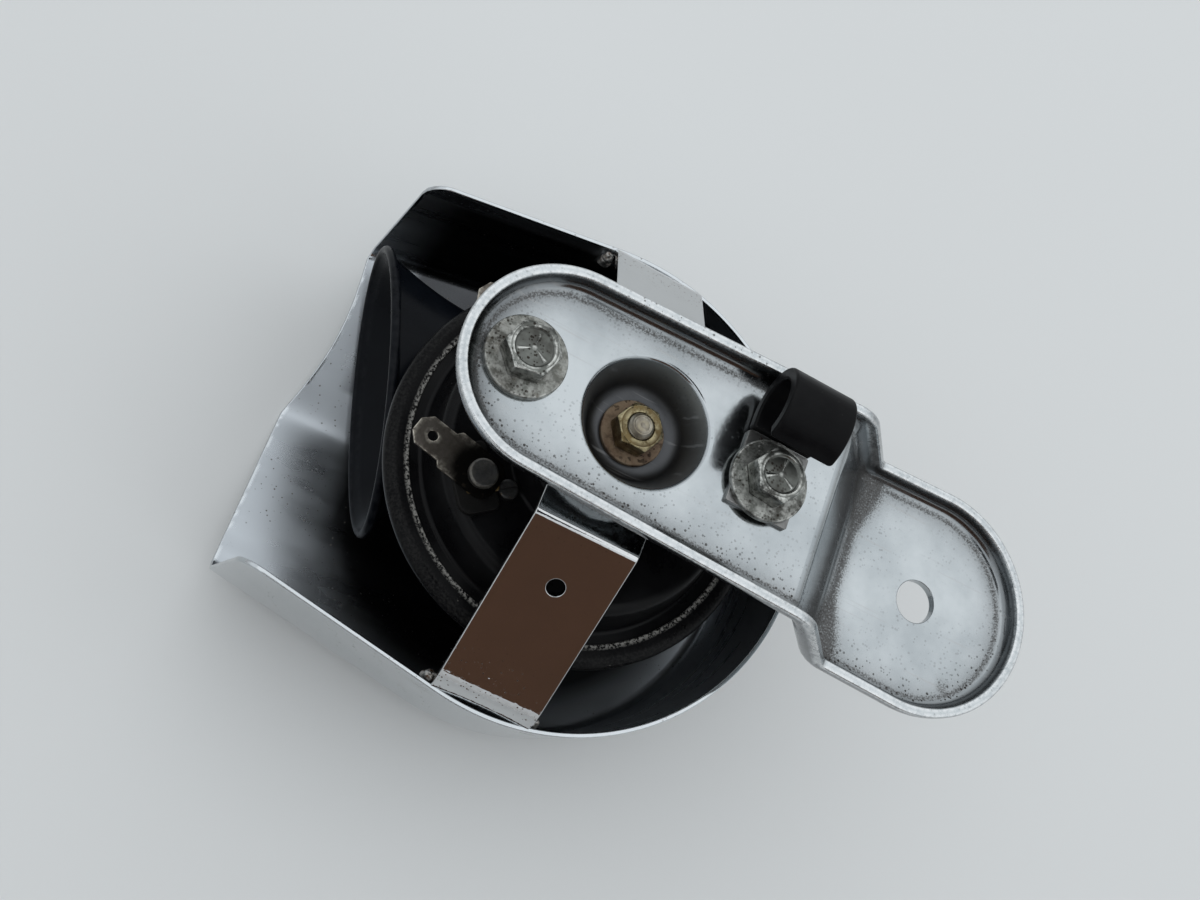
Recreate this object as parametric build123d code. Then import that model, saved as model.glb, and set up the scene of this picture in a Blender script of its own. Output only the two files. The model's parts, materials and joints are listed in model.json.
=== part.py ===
from build123d import *
from math import asin, atan2, cos, hypot, pi, radians, sin, sqrt, tan
import os

# Vehicle horn in a chromed cover, hung from a pressed mounting bracket. Millimetres.
# The horn's own axis is Z. Its back, with the stud, the terminals and the bracket, faces +Z,
# and the sound leaves along -X. The pieces are drawn about the stud, with Z = 0 at the
# bracket's main floor, and are written out about the mounting eye (see eye_origin below).

# ---- bracket: one pressed spoon of plated steel -------------------------------------------
bracket_sheet = 2.3          # thickness of the steel
bracket_rim = 5.0            # height of the turned-up rim above the floor
bracket_bend = 2.4           # inside radius where the floor turns up into the rim
nose_x = -21.2               # centre of the round end
nose_r = 23.9                # outside radius of the round end
eye_x = 84.8                 # from the stud to the mounting eye
eye_r = 28.3                 # outside radius of the lobe around the eye
eye_hole_r = 5.25            # clears a 10 mm stud
step_x = 46.5                # where the main floor starts to fall
step_run = 14.5              # length of the fall along the bracket
step_drop = 19.8             # how far the eye's floor lies below the main floor
step_crest_r = 4.5           # bend at the top of the fall
step_foot_r = 7.0            # bend at the foot of the fall
cup_r = 15.0                 # mouth of the dished cup around the stud
cup_floor_r = 10.6           # flat floor of the cup
cup_depth = 9.5
cup_bend = 1.6

# ---- fasteners -----------------------------------------------------------------------------
bolt_spacing = 60.0          # between the two bracket bolts
bolt_r = 3.0
bolt_hole_r = 3.3
bolt_head_af = 11.1
bolt_head_h = 5.2
bolt_tail = 3.0              # thread standing out of the nut below
spring_washer_r = 9.35
spring_washer_t = 1.5
spring_washer_cone = 0.6     # rise of the conical washer towards its hole
nut_af = 10.0
nut_h = 5.0
stud_r = 3.0
stud_washer_r = 7.6
stud_washer_t = 1.2
stud_tail = 2.0              # thread standing out of the stud nut
thread_gap = 0.05            # between a thread and what is screwed on it
core_nut_af = 13.0
core_nut_h = 4.5

# ---- cable clip ----------------------------------------------------------------------------
clip_w = 15.6
clip_steel = 1.2
clip_coat = 0.9              # vinyl over the steel
clip_tab_end = 8.2           # from the bolt to the square end of the tab
clip_loop_y = 12.6           # centre of the loop, from the bolt
clip_loop_r = 7.6            # inside radius of the steel loop
clip_open_deg = 152.0        # where the loop ends, counted from the side away from the bolt

# ---- chromed cover -------------------------------------------------------------------------
cover_gap = 15.5             # between the horn's rim and the cover's round end
cover_converge = 10.0        # degrees that each side wall closes in towards the mouth
cover_draft = 3.0            # degrees that the wall leans in towards the front
cover_sheet = 1.2
cover_back = 46.0            # the back edge, below the bracket's main floor
cover_keel = 59.0            # depth from the back edge to the crease of the front face
cover_brow = 40.0            # depth from the back edge to the front face's outer edge
cover_edge_r = 5.0           # rounding between the wall and the front face
mouth_back_x = 63.0          # mouth edge at the back edge, from the stud
mouth_front_x = 70.5         # mouth edge at the crease
mouth_corner_r = 6.0

# ---- strap that carries the cover ----------------------------------------------------------
strap_w = 25.4
strap_sheet = 2.0
strap_flat = 25.0            # half length of the flat part under the bracket
strap_bend = 3.0
strap_foot_bend = 7.0
strap_foot = 7.0             # length of each foot along the cover's wall
strap_hole_r = 2.15
strap_hole_y = 36.0
weld_r = 1.9

# ---- horn body: the round sizes follow the rim ----------------------------------------------
can_sheet = 1.2              # steel of the back housing and the front plate
rim_r = 48.5                 # outside of the crimped rim
rim_top = 41.0               # level of the lip, below the bracket
rim_roll = 2.8               # outside radius of the rolled edge
rim_lip_r = rim_r - 5.7      # inner edge of the rolled lip
can_flat = 31.0              # level of the ledge that carries the terminals, below the bracket
can_shoulder_r = rim_r - 11.5
can_foot_r = rim_r - 8.9
coil_cup_r = rim_r - 28.5    # raised cup over the coil
coil_cup_foot_r = coil_cup_r + 0.8
gasket_t = 0.5
diaphragm_t = 0.4
diaphragm_wave_r = rim_r - 18.5      # the diaphragm's one ring-shaped wave
diaphragm_wave_h = 1.0
plate_dish = 4.0             # depth of the front plate's dish, clear of the diaphragm
plate_dish_r = rim_r - 7.5
sound_hole_r = 13.0

# ---- magnet and contacts -------------------------------------------------------------------
pole_r = 8.0
pole_len = 18.0
bobbin_wall = 1.0
bobbin_flange_r = coil_cup_r - 3.2
bobbin_gap = 0.2
coil_r = bobbin_flange_r - 0.6
armature_r = bobbin_flange_r - 2.8
armature_t = 3.4
armature_boss_r = 4.0
armature_boss_h = 1.4
armature_rivet_r = 2.5
armature_rivet_t = 1.0
contact_x = coil_cup_r + 9.0     # the stack of contact springs, from the stud
contact_block = (10.0, 10.0, 3.0)
contact_spring_w = 7.0
contact_spring_t = 0.5
contact_spacer_t = 1.9
fixed_spring_tip = contact_x - 9.0
moving_spring_tip = contact_x - 17.5
contact_point_x = contact_x - 7.3
contact_point_r = 1.5
contact_rivet_r = 1.5

# ---- terminals and adjuster ----------------------------------------------------------------
terminal_angles = (216.3, 149.0)     # where the two rivets sit, around the stud
terminal_turns = (167.3, 149.0)      # where the two blades point
terminal_ring_r = coil_cup_r + 9.9
blade_t = 0.8
blade_w = 7.9
blade_base_w = 10.4
blade_base = 9.0
blade_len = 18.5
blade_heel = 4.6
blade_tip_chamfer = 2.2
blade_hole_r = 1.2
blade_hole_at = 14.0
insulator_t = 2.0
insulator_in = 3.2           # from the rivet towards the stud
insulator_out = 6.4          # from the rivet towards the rim
insulator_w = 16.5
brass_side = 7.8
brass_t = 0.8
rivet_r = 2.0
rivet_head_r = 3.5
rivet_head_h = 2.0
rivet_clinch = 1.0
adjuster_angle = 226.0
adjuster_ring_r = coil_cup_r + 4.25
adjuster_r = 1.8
adjuster_head_r = 2.4
adjuster_head_h = 2.2
adjuster_len = 4.5

# ---- moulded trumpet -----------------------------------------------------------------------
trumpet_wall = 2.0
trumpet_base_r = rim_r - 8.5
trumpet_base_t = 4.0
throat_chamber_r = 20.0
throat_chamber_h = 2.0
throat_r = 5.0
spiral_from = -100.0         # angle around the stud where the channel starts
spiral_to = 110.8            # angle where it leaves the spiral and runs out straight
spiral_start_r = 15.0
spiral_end_r = 24.07
tube_start = (7.5, 6.0)      # half width and half height of the channel at the throat
tube_end = (17.0, 15.5)      # the same where the straight bell begins
bell_len = 46.5
bell_mouth = (38.0, 23.0)
bell_flare = 2.2             # how late the bell opens
bell_lean = 1.0              # degrees that the mouth is tipped towards the back
bell_top = 49.0              # level of the mouth's upper edge, below the bracket
lip_r = 1.2                  # bead around the mouth

# ---- levels and places worked out from the sizes above ------------------------------------
cup_floor = -cup_depth
strap_top = cup_floor - bracket_sheet
can_top = strap_top - strap_sheet - core_nut_h
ledge = -can_flat
flange_top = -rim_top - can_sheet
diaphragm_top = flange_top - can_sheet - gasket_t
plate_seat = diaphragm_top - diaphragm_t - gasket_t
plate_bottom = plate_seat - can_sheet
dish_bottom = plate_bottom - plate_dish
stack_r = rim_r - rim_roll     # edge of what the rim clamps, inside its rounded roll
cover_r = rim_r + cover_gap    # round end of the cover, at its open back
bolt_x = bolt_spacing / 2
eye_origin = Pos(-eye_x, 0, step_drop)


# ---- drawing helpers -----------------------------------------------------------------------
def corner_arc(before, corner, after, radius):
    # The two tangent points and the middle of the arc that rounds one corner.
    to_before = (before[0] - corner[0], before[1] - corner[1])
    to_after = (after[0] - corner[0], after[1] - corner[1])
    len_before = hypot(*to_before)
    len_after = hypot(*to_after)
    unit_before = (to_before[0] / len_before, to_before[1] / len_before)
    unit_after = (to_after[0] / len_after, to_after[1] / len_after)
    opening = abs(atan2(unit_before[0] * unit_after[1] - unit_before[1] * unit_after[0],
                        unit_before[0] * unit_after[0] + unit_before[1] * unit_after[1]))
    reach = radius / tan(opening / 2)
    start = (corner[0] + unit_before[0] * reach, corner[1] + unit_before[1] * reach)
    end = (corner[0] + unit_after[0] * reach, corner[1] + unit_after[1] * reach)
    bisector = (unit_before[0] + unit_after[0], unit_before[1] + unit_after[1])
    to_middle = (radius / sin(opening / 2) - radius) / hypot(*bisector)
    middle = (corner[0] + bisector[0] * to_middle, corner[1] + bisector[1] * to_middle)
    return start, middle, end


def outline(corners):
    # A closed face from corners (u, v) or (u, v, radius).
    count = len(corners)
    edges = []
    joints = []
    for index, corner in enumerate(corners):
        if len(corner) == 3 and corner[2] > 0:
            start, middle, end = corner_arc(corners[index - 1], corner,
                                            corners[(index + 1) % count], corner[2])
            edges.append(ThreePointArc(start, middle, end))
            joints.append((start, end))
        else:
            joints.append((corner[:2], corner[:2]))
    for index in range(count):
        leave = joints[index][1]
        arrive = joints[(index + 1) % count][0]
        if hypot(arrive[0] - leave[0], arrive[1] - leave[1]) > 1e-6:
            edges.append(Line(leave, arrive))
    return make_face(edges)


def sheet(path, thickness):
    # The section of a sheet that lies on the right of an open path of corners (u, v, radius).
    points = [corner[:2] for corner in path]
    far_side = []
    for index, point in enumerate(points):
        normals = []
        for first in (index - 1, index):
            if 0 <= first < len(points) - 1:
                du = points[first + 1][0] - points[first][0]
                dv = points[first + 1][1] - points[first][1]
                normals.append((dv / hypot(du, dv), -du / hypot(du, dv)))
        total = (sum(n[0] for n in normals), sum(n[1] for n in normals))
        scale = thickness * len(normals) / hypot(*total) ** 2
        radius = path[index][2] if len(path[index]) == 3 else 0
        if radius and len(normals) == 2:
            turn = normals[0][0] * normals[1][1] - normals[0][1] * normals[1][0]
            radius += thickness if turn > 0 else -thickness
        far_side.append((point[0] + total[0] * scale, point[1] + total[1] * scale, max(radius, 0)))
    return outline(list(path) + far_side[::-1])


def turned(section):
    return revolve(Plane.XZ * section, Axis.Z)


def disc(r, low, high):
    return Pos(0, 0, (low + high) / 2) * Cylinder(r, high - low)


def ring(r_out, r_in, low, high):
    return disc(r_out, low, high) - disc(r_in, low - 1, high + 1)


def hex_prism(across_flats, low, high):
    # Both ends lose their points to a 30 degree chamfer, as on a real nut.
    corner_r = across_flats / sqrt(3)
    body = Pos(0, 0, low) * extrude(RegularPolygon(corner_r, 6), high - low)
    drop = (corner_r - across_flats / 2) * tan(radians(30)) * 1.6
    cone = outline([(0, low), (corner_r - drop * 1.7, low), (corner_r + 0.01, low + drop),
                    (corner_r + 0.01, high - drop), (corner_r - drop * 1.7, high), (0, high)])
    return body & turned(cone)


def border(faces):
    # The edges that belong to only one of these faces.
    edges = [edge for face in faces for edge in face.edges()]
    return [edge for edge in edges if sum(edge.is_same(other) for other in edges) == 1]


def polar(radius, angle, z=0.0):
    return Pos(radius * cos(radians(angle)), radius * sin(radians(angle)), z)


# ---- bracket -------------------------------------------------------------------------------
def spoon_plan(inset):
    # Two circles joined by their outer tangents.
    nose = nose_r - inset
    lobe = eye_r - inset
    slope = asin((lobe - nose) / (eye_x - nose_x))
    near = (nose_x - nose * sin(slope), nose * cos(slope))
    far = (eye_x - lobe * sin(slope), lobe * cos(slope))
    return make_face([Line(near, far),
                      ThreePointArc(far, (eye_x + lobe, 0), (far[0], -far[1])),
                      Line((far[0], -far[1]), (near[0], -near[1])),
                      ThreePointArc((near[0], -near[1]), (nose_x - nose, 0), near)])


def spoon_floor(rise):
    # The floor's side view, lifted square to itself by rise: flat, bend, fall, bend, flat.
    shift = rise * tan(atan2(step_drop, step_run) / 2)
    crest_r = step_crest_r + rise
    foot_r = step_foot_r - rise
    return [(nose_x - 2 * nose_r, rise), (step_x + shift, rise, crest_r),
            (step_x + step_run + shift, rise - step_drop, foot_r),
            (eye_x + 2 * eye_r, rise - step_drop)]


def spoon_block(inset, low, high):
    side = outline(spoon_floor(low) + high[::-1])
    across = extrude(Plane.XZ * side, 2 * eye_r, both=True)
    plan = Pos(0, 0, -3 * step_drop) * extrude(spoon_plan(inset), 6 * step_drop)
    block = across & plan
    underside = [face for face in block.faces() if face.normal_at().Z < -0.2]
    return fillet(border(underside), bracket_bend + bracket_sheet - inset)


def make_bracket():
    above = [(nose_x - 2 * nose_r, 2 * step_drop), (eye_x + 2 * eye_r, 2 * step_drop)]
    shell = spoon_block(0, -bracket_sheet, spoon_floor(bracket_rim))
    shell -= spoon_block(bracket_sheet, 0, above)
    cup_edge = cup_r + cup_bend * 2
    shell -= disc(cup_edge, -step_drop, step_drop)
    dish = sheet([(stud_r + 0.3, cup_floor), (cup_floor_r, cup_floor, cup_bend),
                  (cup_r, 0, cup_bend), (cup_edge, 0)], bracket_sheet)
    shell += turned(dish)
    for side in (-1, 1):
        shell -= Pos(side * bolt_x, 0, 0) * Cylinder(bolt_hole_r, 4 * bracket_sheet)
    shell -= Pos(eye_x, 0, -step_drop) * Cylinder(eye_hole_r, 4 * bracket_sheet)
    return shell


# ---- fasteners -----------------------------------------------------------------------------
def washer_seat(side):
    # The bolt on the eye's side also holds the cable clip's tab.
    return clip_steel if side > 0 else 0.0


def make_bolt(side):
    seat = washer_seat(side) + spring_washer_t + spring_washer_cone
    head = hex_prism(bolt_head_af, seat, seat + bolt_head_h)
    head -= disc(bolt_head_af / 2 - 1.1, seat + bolt_head_h - 0.5, seat + bolt_head_h + 1)
    shank = disc(bolt_r, -bracket_sheet - nut_h - bolt_tail, seat)
    return Pos(side * bolt_x, 0, 0) * (head + shank)


def make_spring_washer(side):
    low = washer_seat(side)
    cone = outline([(bolt_hole_r, low + spring_washer_cone), (spring_washer_r, low),
                    (spring_washer_r, low + spring_washer_t, 0.4),
                    (bolt_hole_r, low + spring_washer_t + spring_washer_cone)])
    return Pos(side * bolt_x, 0, 0) * turned(cone)


def make_nut(low, across_flats, height, bore_r):
    return hex_prism(across_flats, low, low + height) - disc(bore_r, low - 1, low + height + 1)


# ---- cable clip ----------------------------------------------------------------------------
def clip_section(thickness, start_y, extra_deg):
    # Flat run from start_y to the loop, and the open loop, about the band's middle line.
    middle_r = clip_loop_r + clip_steel / 2
    level = clip_coat + clip_steel / 2
    centre = level + middle_r
    outer = middle_r + thickness / 2
    inner = middle_r - thickness / 2
    end = clip_open_deg + extra_deg
    half = (end - 90) / 2
    points = []
    for r in (outer, inner):
        points.append([(clip_loop_y + r * cos(radians(a)), centre + r * sin(radians(a)))
                       for a in (-90, half, end)])
    (out_a, out_m, out_b), (in_a, in_m, in_b) = points
    loop = make_face([ThreePointArc(out_a, out_m, out_b), Line(out_b, in_b),
                      ThreePointArc(in_b, in_m, in_a), Line(in_a, out_a)])
    run = outline([(start_y, level - thickness / 2), (clip_loop_y, level - thickness / 2),
                   (clip_loop_y, level + thickness / 2), (start_y, level + thickness / 2)])
    return loop + run


def make_clip():
    # The tab lies on the floor, then steps up by the coat's thickness into the loop.
    step_y = spring_washer_r + 0.5
    tab = sheet([(-clip_tab_end, clip_steel), (step_y, clip_steel, 1.4),
                 (step_y + 1.3, clip_steel + clip_coat, 1.4),
                 (clip_loop_y, clip_steel + clip_coat)], clip_steel)
    band = extrude(Plane.YZ * tab, clip_w / 2, both=True)
    band -= Cylinder(bolt_hole_r, 4 * clip_steel)
    narrow = clip_w / 2 - clip_coat
    band -= Pos(0, step_y + 1.6 + clip_w, 0) * Box(3 * clip_w, 2 * clip_w, 4 * clip_w)
    loop = extrude(Plane.YZ * clip_section(clip_steel, step_y + 1.6, 0), narrow, both=True)
    return Pos(bolt_x, 0, 0) * (band + loop)


def make_clip_sleeve():
    start = spring_washer_r + 2.6
    skin = clip_section(clip_steel + 2 * clip_coat - 0.1, start, 4)
    sleeve = extrude(Plane.YZ * skin, clip_w / 2, both=True)
    return Pos(bolt_x, 0, 0) * sleeve - make_clip()


# ---- cover ---------------------------------------------------------------------------------
def cover_form(inset):
    # Tapered wall on the U-shaped plan, closed in front by a keeled face: straight along the
    # mouth's half, and turned about the stud on the round end. inset moves every face inwards,
    # and lets the form run past the open back and the mouth.
    lift = 2 * inset
    radius = cover_r - inset + lift * tan(radians(cover_draft))
    lean = radians(cover_converge)
    side = (-radius * sin(lean), radius * cos(lean))
    reach = mouth_front_x + 20 + lift
    open_y = side[1] - (side[0] + reach) * tan(lean)
    plan = make_face([ThreePointArc((side[0], -side[1]), (radius, 0), side),
                      Line(side, (-reach, open_y)), Line((-reach, open_y), (-reach, -open_y)),
                      Line((-reach, -open_y), (side[0], -side[1]))])
    depth = cover_keel + 15 + lift
    wall = Pos(0, 0, lift - cover_back) * extrude(plan, -depth, taper=cover_draft)
    keel = -cover_back - cover_keel + inset
    brow = -cover_back - cover_brow + inset
    over = 1.3
    edge_z = keel + (brow - keel) * over
    half = outline([(0, 0), (0, keel), (cover_r * over, edge_z), (cover_r * over, 0)])
    full = outline([(-cover_r * over, 0), (-cover_r * over, edge_z), (0, keel),
                    (cover_r * over, edge_z), (cover_r * over, 0)])
    round_end = revolve(Plane.YZ * half, Axis.Z, -180)
    straight = extrude(Plane.YZ * full, -2 * cover_r)
    form = wall & (round_end + straight)
    front = [face for face in form.faces() if face.normal_at().Z < -0.5]
    open_end = -reach + 1
    edges = [edge for edge in border(front) if edge.center().X > open_end]
    return fillet(edges, cover_edge_r - inset)


def make_cover():
    shell = cover_form(0) - cover_form(cover_sheet)
    low = -cover_back - cover_keel - 10
    slope = (mouth_front_x - mouth_back_x) / cover_keel
    far = mouth_front_x + 60
    corner = (-mouth_back_x, -cover_back, mouth_corner_r)
    keep = outline([corner, (-mouth_back_x - slope * (cover_keel + 10), low),
                    (2 * cover_r, low), (2 * cover_r, -cover_back)])
    return shell & extrude(Plane.XZ * keep, far, both=True)


def wall_inside(depth):
    # Inside radius of the cover at a depth below its back edge.
    return cover_r - cover_sheet - depth * tan(radians(cover_draft))


def make_strap():
    foot_y = sqrt(wall_inside(strap_foot + 2) ** 2 - (strap_w / 2) ** 2)
    knee = -cover_back - 1
    foot_end = knee - strap_foot
    path = [(-foot_y, foot_end), (-foot_y, knee, strap_foot_bend),
            (-strap_flat, strap_top, strap_bend), (strap_flat, strap_top, strap_bend),
            (foot_y, knee, strap_foot_bend), (foot_y, foot_end)]
    band = extrude(Plane.YZ * sheet(path, strap_sheet), strap_w / 2, both=True)
    band -= disc(stud_r + 0.3, strap_top - 4 * strap_sheet, strap_top + strap_sheet)
    fall = atan2(strap_top - knee, foot_y - strap_flat)
    for side in (-1, 1):
        run = strap_hole_y - strap_flat
        hole = Rot(-side * fall * 180 / pi, 0, 0) * Cylinder(strap_hole_r, 6 * strap_sheet)
        band -= Pos(0, side * strap_hole_y, strap_top - run * tan(fall)) * hole
    return band


def make_welds():
    # One bead at each corner of the strap's feet, filling the wedge against the round wall.
    beads = []
    depth = strap_foot * 0.55
    inside = wall_inside(depth)
    for side_x in (-1, 1):
        for side_y in (-1, 1):
            x = side_x * (strap_w / 2 + weld_r * 0.35)
            y = side_y * (sqrt(inside ** 2 - x ** 2) - weld_r * 0.35)
            bead = Pos(x, y, -cover_back - depth) * Sphere(weld_r)
            bead += Pos(x, y, -cover_back - depth + 2.4) * Sphere(weld_r * 0.85)
            beads.append(bead)
    metal = make_cover() + make_strap()
    return [max((bead - metal).solids(), key=lambda solid: solid.volume) for bead in beads]


# ---- horn body -----------------------------------------------------------------------------
def make_housing():
    path = [(stud_r + 0.1, can_top), (coil_cup_r, can_top, 3.0), (coil_cup_foot_r, ledge, 1.2),
            (can_shoulder_r, ledge, 3.2), (can_foot_r, flange_top, 1.4),
            (stack_r, flange_top)]
    can = turned(sheet(path, can_sheet))
    for angle in terminal_angles:
        can -= polar(terminal_ring_r, angle, ledge) * Cylinder(rivet_r + 0.1, 6 * can_sheet)
    can -= polar(adjuster_ring_r, adjuster_angle, ledge) * Cylinder(adjuster_r + thread_gap, 8)
    can -= Pos(-contact_x, 0, ledge) * Cylinder(contact_rivet_r + 0.1, 6 * can_sheet)
    # One pressing, parted at its ledge so that each solid is a plain form.
    above = disc(rim_r, ledge, 0)
    return [can & above, can - above]


def make_front_plate():
    path = [(rim_lip_r, -rim_top), (rim_r, -rim_top, rim_roll), (rim_r, plate_bottom, 1.8),
            (plate_dish_r + 2.5, plate_bottom, 1.6), (plate_dish_r, dish_bottom, 2.8),
            (sound_hole_r, dish_bottom)]
    return turned(sheet(path, can_sheet))


def make_gaskets():
    upper = ring(stack_r, rim_lip_r, diaphragm_top, diaphragm_top + gasket_t)
    lower = ring(stack_r, plate_dish_r + 3.2, plate_seat, plate_seat + gasket_t)
    return [upper, lower]


def make_diaphragm():
    wave = diaphragm_wave_h * 1.8
    rise = diaphragm_top + diaphragm_wave_h
    path = [(armature_rivet_r, diaphragm_top), (diaphragm_wave_r - 2 * wave, diaphragm_top, 1.2),
            (diaphragm_wave_r - wave / 2, rise, 1.2), (diaphragm_wave_r + wave / 2, rise, 1.2),
            (diaphragm_wave_r + 2 * wave, diaphragm_top, 1.2),
            (stack_r, diaphragm_top)]
    return turned(sheet(path, diaphragm_t))


def make_armature():
    # Steel disc held on the diaphragm by its own riveted end.
    top = diaphragm_top + armature_boss_h + armature_t
    section = outline([(0, diaphragm_top - diaphragm_t - armature_rivet_t),
                       (armature_rivet_r + 1.5, diaphragm_top - diaphragm_t - armature_rivet_t, 0.5),
                       (armature_rivet_r + 1.5, diaphragm_top - diaphragm_t),
                       (armature_rivet_r, diaphragm_top - diaphragm_t),
                       (armature_rivet_r, diaphragm_top), (armature_boss_r, diaphragm_top),
                       (armature_boss_r, top - armature_t), (armature_r, top - armature_t, 0.4),
                       (armature_r, top, 0.4), (0, top)])
    return turned(section)


def make_core():
    # Pole piece and stud, turned in one.
    seat = can_top - can_sheet
    tip = cup_floor + stud_washer_t + nut_h + stud_tail
    section = outline([(0, seat - pole_len), (pole_r, seat - pole_len, 0.5), (pole_r, seat),
                       (stud_r, seat), (stud_r, tip, 0.8), (0, tip)])
    return turned(section)


def make_bobbin():
    top = can_top - can_sheet
    bottom = top - pole_len + 1.5
    bore = pole_r + bobbin_gap
    section = outline([(bore, top), (bobbin_flange_r, top), (bobbin_flange_r, top - bobbin_wall),
                       (bore + bobbin_wall, top - bobbin_wall),
                       (bore + bobbin_wall, bottom + bobbin_wall),
                       (bobbin_flange_r, bottom + bobbin_wall), (bobbin_flange_r, bottom),
                       (bore, bottom)])
    return turned(section)


def make_winding():
    top = can_top - can_sheet - bobbin_wall
    bottom = can_top - can_sheet - pole_len + 1.5 + bobbin_wall
    return ring(coil_r, pole_r + bobbin_gap + bobbin_wall, bottom, top)


# ---- contacts, under the ledge of the housing ---------------------------------------------
def contact_levels():
    # Top of the block, of the fixed spring, of the spacer and of the moving spring.
    block = ledge - can_sheet
    fixed = block - contact_block[2]
    spacer = fixed - contact_spring_t
    moving = spacer - contact_spacer_t
    return block, fixed, spacer, moving


def contact_plate(inner, top, thickness):
    outer = contact_x + contact_block[0] / 2
    length = outer - inner
    plate = Pos(-(outer + inner) / 2, 0, top - thickness / 2) * Box(length, contact_spring_w, thickness)
    return plate - Pos(-contact_x, 0, top) * Cylinder(contact_rivet_r, 4 * contact_block[2])


def make_contact_block():
    long, wide, thick = contact_block
    top = contact_levels()[0]
    block = Pos(-contact_x, 0, top - thick / 2) * Box(long, wide, thick)
    block = fillet(block.edges().filter_by(Axis.Z), 1.2)
    return block - Pos(-contact_x, 0, top) * Cylinder(contact_rivet_r, 4 * thick)


def make_contact_points():
    fixed_bottom = contact_levels()[2]
    moving_top = contact_levels()[3]
    half = (fixed_bottom - moving_top) / 2
    middle = (fixed_bottom + moving_top) / 2
    upper = Pos(-contact_point_x, 0, middle + half / 2) * Cylinder(contact_point_r, half)
    lower = Pos(-contact_point_x, 0, middle - half / 2) * Cylinder(contact_point_r, half)
    return [upper, lower]


def make_contact_rivet():
    low = contact_levels()[3] - contact_spring_t
    top = ledge + 0.9
    shank = disc(contact_rivet_r, low - 0.8, top)
    heads = disc(contact_rivet_r + 1.2, low - 0.8, low) + disc(contact_rivet_r + 1.3, ledge, top)
    heads = fillet(heads.edges().group_by(Axis.Z)[-1], 0.6)
    return Pos(-contact_x, 0, 0) * (heads + shank)


# ---- terminals -----------------------------------------------------------------------------
def terminal_place(index, z):
    return polar(terminal_ring_r, terminal_angles[index], z)


def make_blade(index):
    half = blade_w / 2
    base = blade_base_w / 2
    cut = blade_tip_chamfer
    shape = outline([(-blade_heel, -base, 1.5), (blade_base, -base, 0.6), (blade_base + 1, -half),
                     (blade_len - cut, -half), (blade_len, -half + cut), (blade_len, half - cut),
                     (blade_len - cut, half), (blade_base + 1, half), (blade_base, base, 0.6),
                     (-blade_heel, base, 1.5)])
    blade = extrude(shape, blade_t)
    blade -= Cylinder(rivet_r, 4 * blade_t)
    blade -= Pos(blade_hole_at, 0, 0) * Cylinder(blade_hole_r, 4 * blade_t)
    level = ledge + insulator_t + brass_t
    return terminal_place(index, level) * Rot(0, 0, terminal_turns[index]) * blade


def make_insulator(index, outside):
    # The outer plate sits on the ledge, the inner one under it.
    across = insulator_w if outside else insulator_w * 0.7
    out = insulator_out - (0 if outside else 2.4)
    plate = outline([(-insulator_in, -across / 2, 1.5), (out, -across / 2, 3.0),
                     (out, across / 2, 3.0), (-insulator_in, across / 2, 1.5)])
    plate = extrude(plate, insulator_t) - Cylinder(rivet_r, 4 * insulator_t)
    level = ledge if outside else ledge - can_sheet - insulator_t
    return terminal_place(index, level) * Rot(0, 0, terminal_angles[index]) * plate


def make_brass_washer(index):
    plate = Pos(0, 0, brass_t / 2) * Box(brass_side, brass_side, brass_t)
    plate = fillet(plate.edges().filter_by(Axis.Z), 0.8) - Cylinder(rivet_r, 4 * brass_t)
    turn = Rot(0, 0, terminal_turns[index] + 45)
    return terminal_place(index, ledge + insulator_t) * turn * plate


def make_rivet(index):
    low = ledge - can_sheet - insulator_t
    head_low = ledge + insulator_t + brass_t + blade_t
    head = disc(rivet_head_r, head_low, head_low + rivet_head_h)
    head = fillet(head.edges().group_by(Axis.Z)[-1], 0.9)
    shank = disc(rivet_r, low - rivet_clinch, head_low)
    clinch = disc(rivet_head_r - 0.6, low - rivet_clinch, low)
    return terminal_place(index, 0) * (head + shank + clinch)


def make_adjuster():
    head = disc(adjuster_head_r, 0, adjuster_head_h)
    head = fillet(head.edges().group_by(Axis.Z)[-1], 0.5)
    head -= Pos(0, 0, adjuster_head_h) * Box(3 * adjuster_head_r, 0.8, 1.6)
    shank = disc(adjuster_r, -adjuster_len, 0)
    place = polar(adjuster_ring_r, adjuster_angle, ledge) * Rot(0, 0, 35)
    return place * (head + shank)


# ---- trumpet -------------------------------------------------------------------------------
def tube_stations():
    # (x, y, heading, lean, half width, half height, top) from the throat to the mouth.
    stations = []
    roof = dish_bottom - 1.0
    turns = 7
    for step in range(turns + 1):
        share = step / turns
        angle = spiral_from + (spiral_to - spiral_from) * share
        radius = spiral_start_r + (spiral_end_r - spiral_start_r) * share
        wide = tube_start[0] + (tube_end[0] - tube_start[0]) * share
        high = tube_start[1] + (tube_end[1] - tube_start[1]) * share
        stations.append((radius * cos(radians(angle)), radius * sin(radians(angle)),
                         angle + 90, 0.0, wide, high, roof))
    start_x, start_y = stations[-1][:2]
    heading = spiral_to + 90
    lengths = 5
    for step in range(1, lengths + 1):
        share = step / lengths
        swell = share ** bell_flare
        run = bell_len * share
        wide = tube_end[0] + (bell_mouth[0] - tube_end[0]) * swell
        high = tube_end[1] + (bell_mouth[1] - tube_end[1]) * swell
        top = roof + (-bell_top - roof) * swell
        stations.append((start_x + run * cos(radians(heading)), start_y + run * sin(radians(heading)),
                         heading, bell_lean * share, wide, high, top))
    return stations


def tube_section(station, inset):
    x, y, heading, lean, wide, high, top = station
    along = Vector(cos(radians(heading)), sin(radians(heading)), 0)
    across = Vector(-sin(radians(heading)), cos(radians(heading)), 0)
    normal = along * cos(radians(lean)) + Vector(0, 0, 1) * sin(radians(lean))
    plane = Plane(origin=(x, y, top - high), x_dir=across, z_dir=normal)
    return plane, plane * Ellipse(wide - inset, high - inset)


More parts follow.
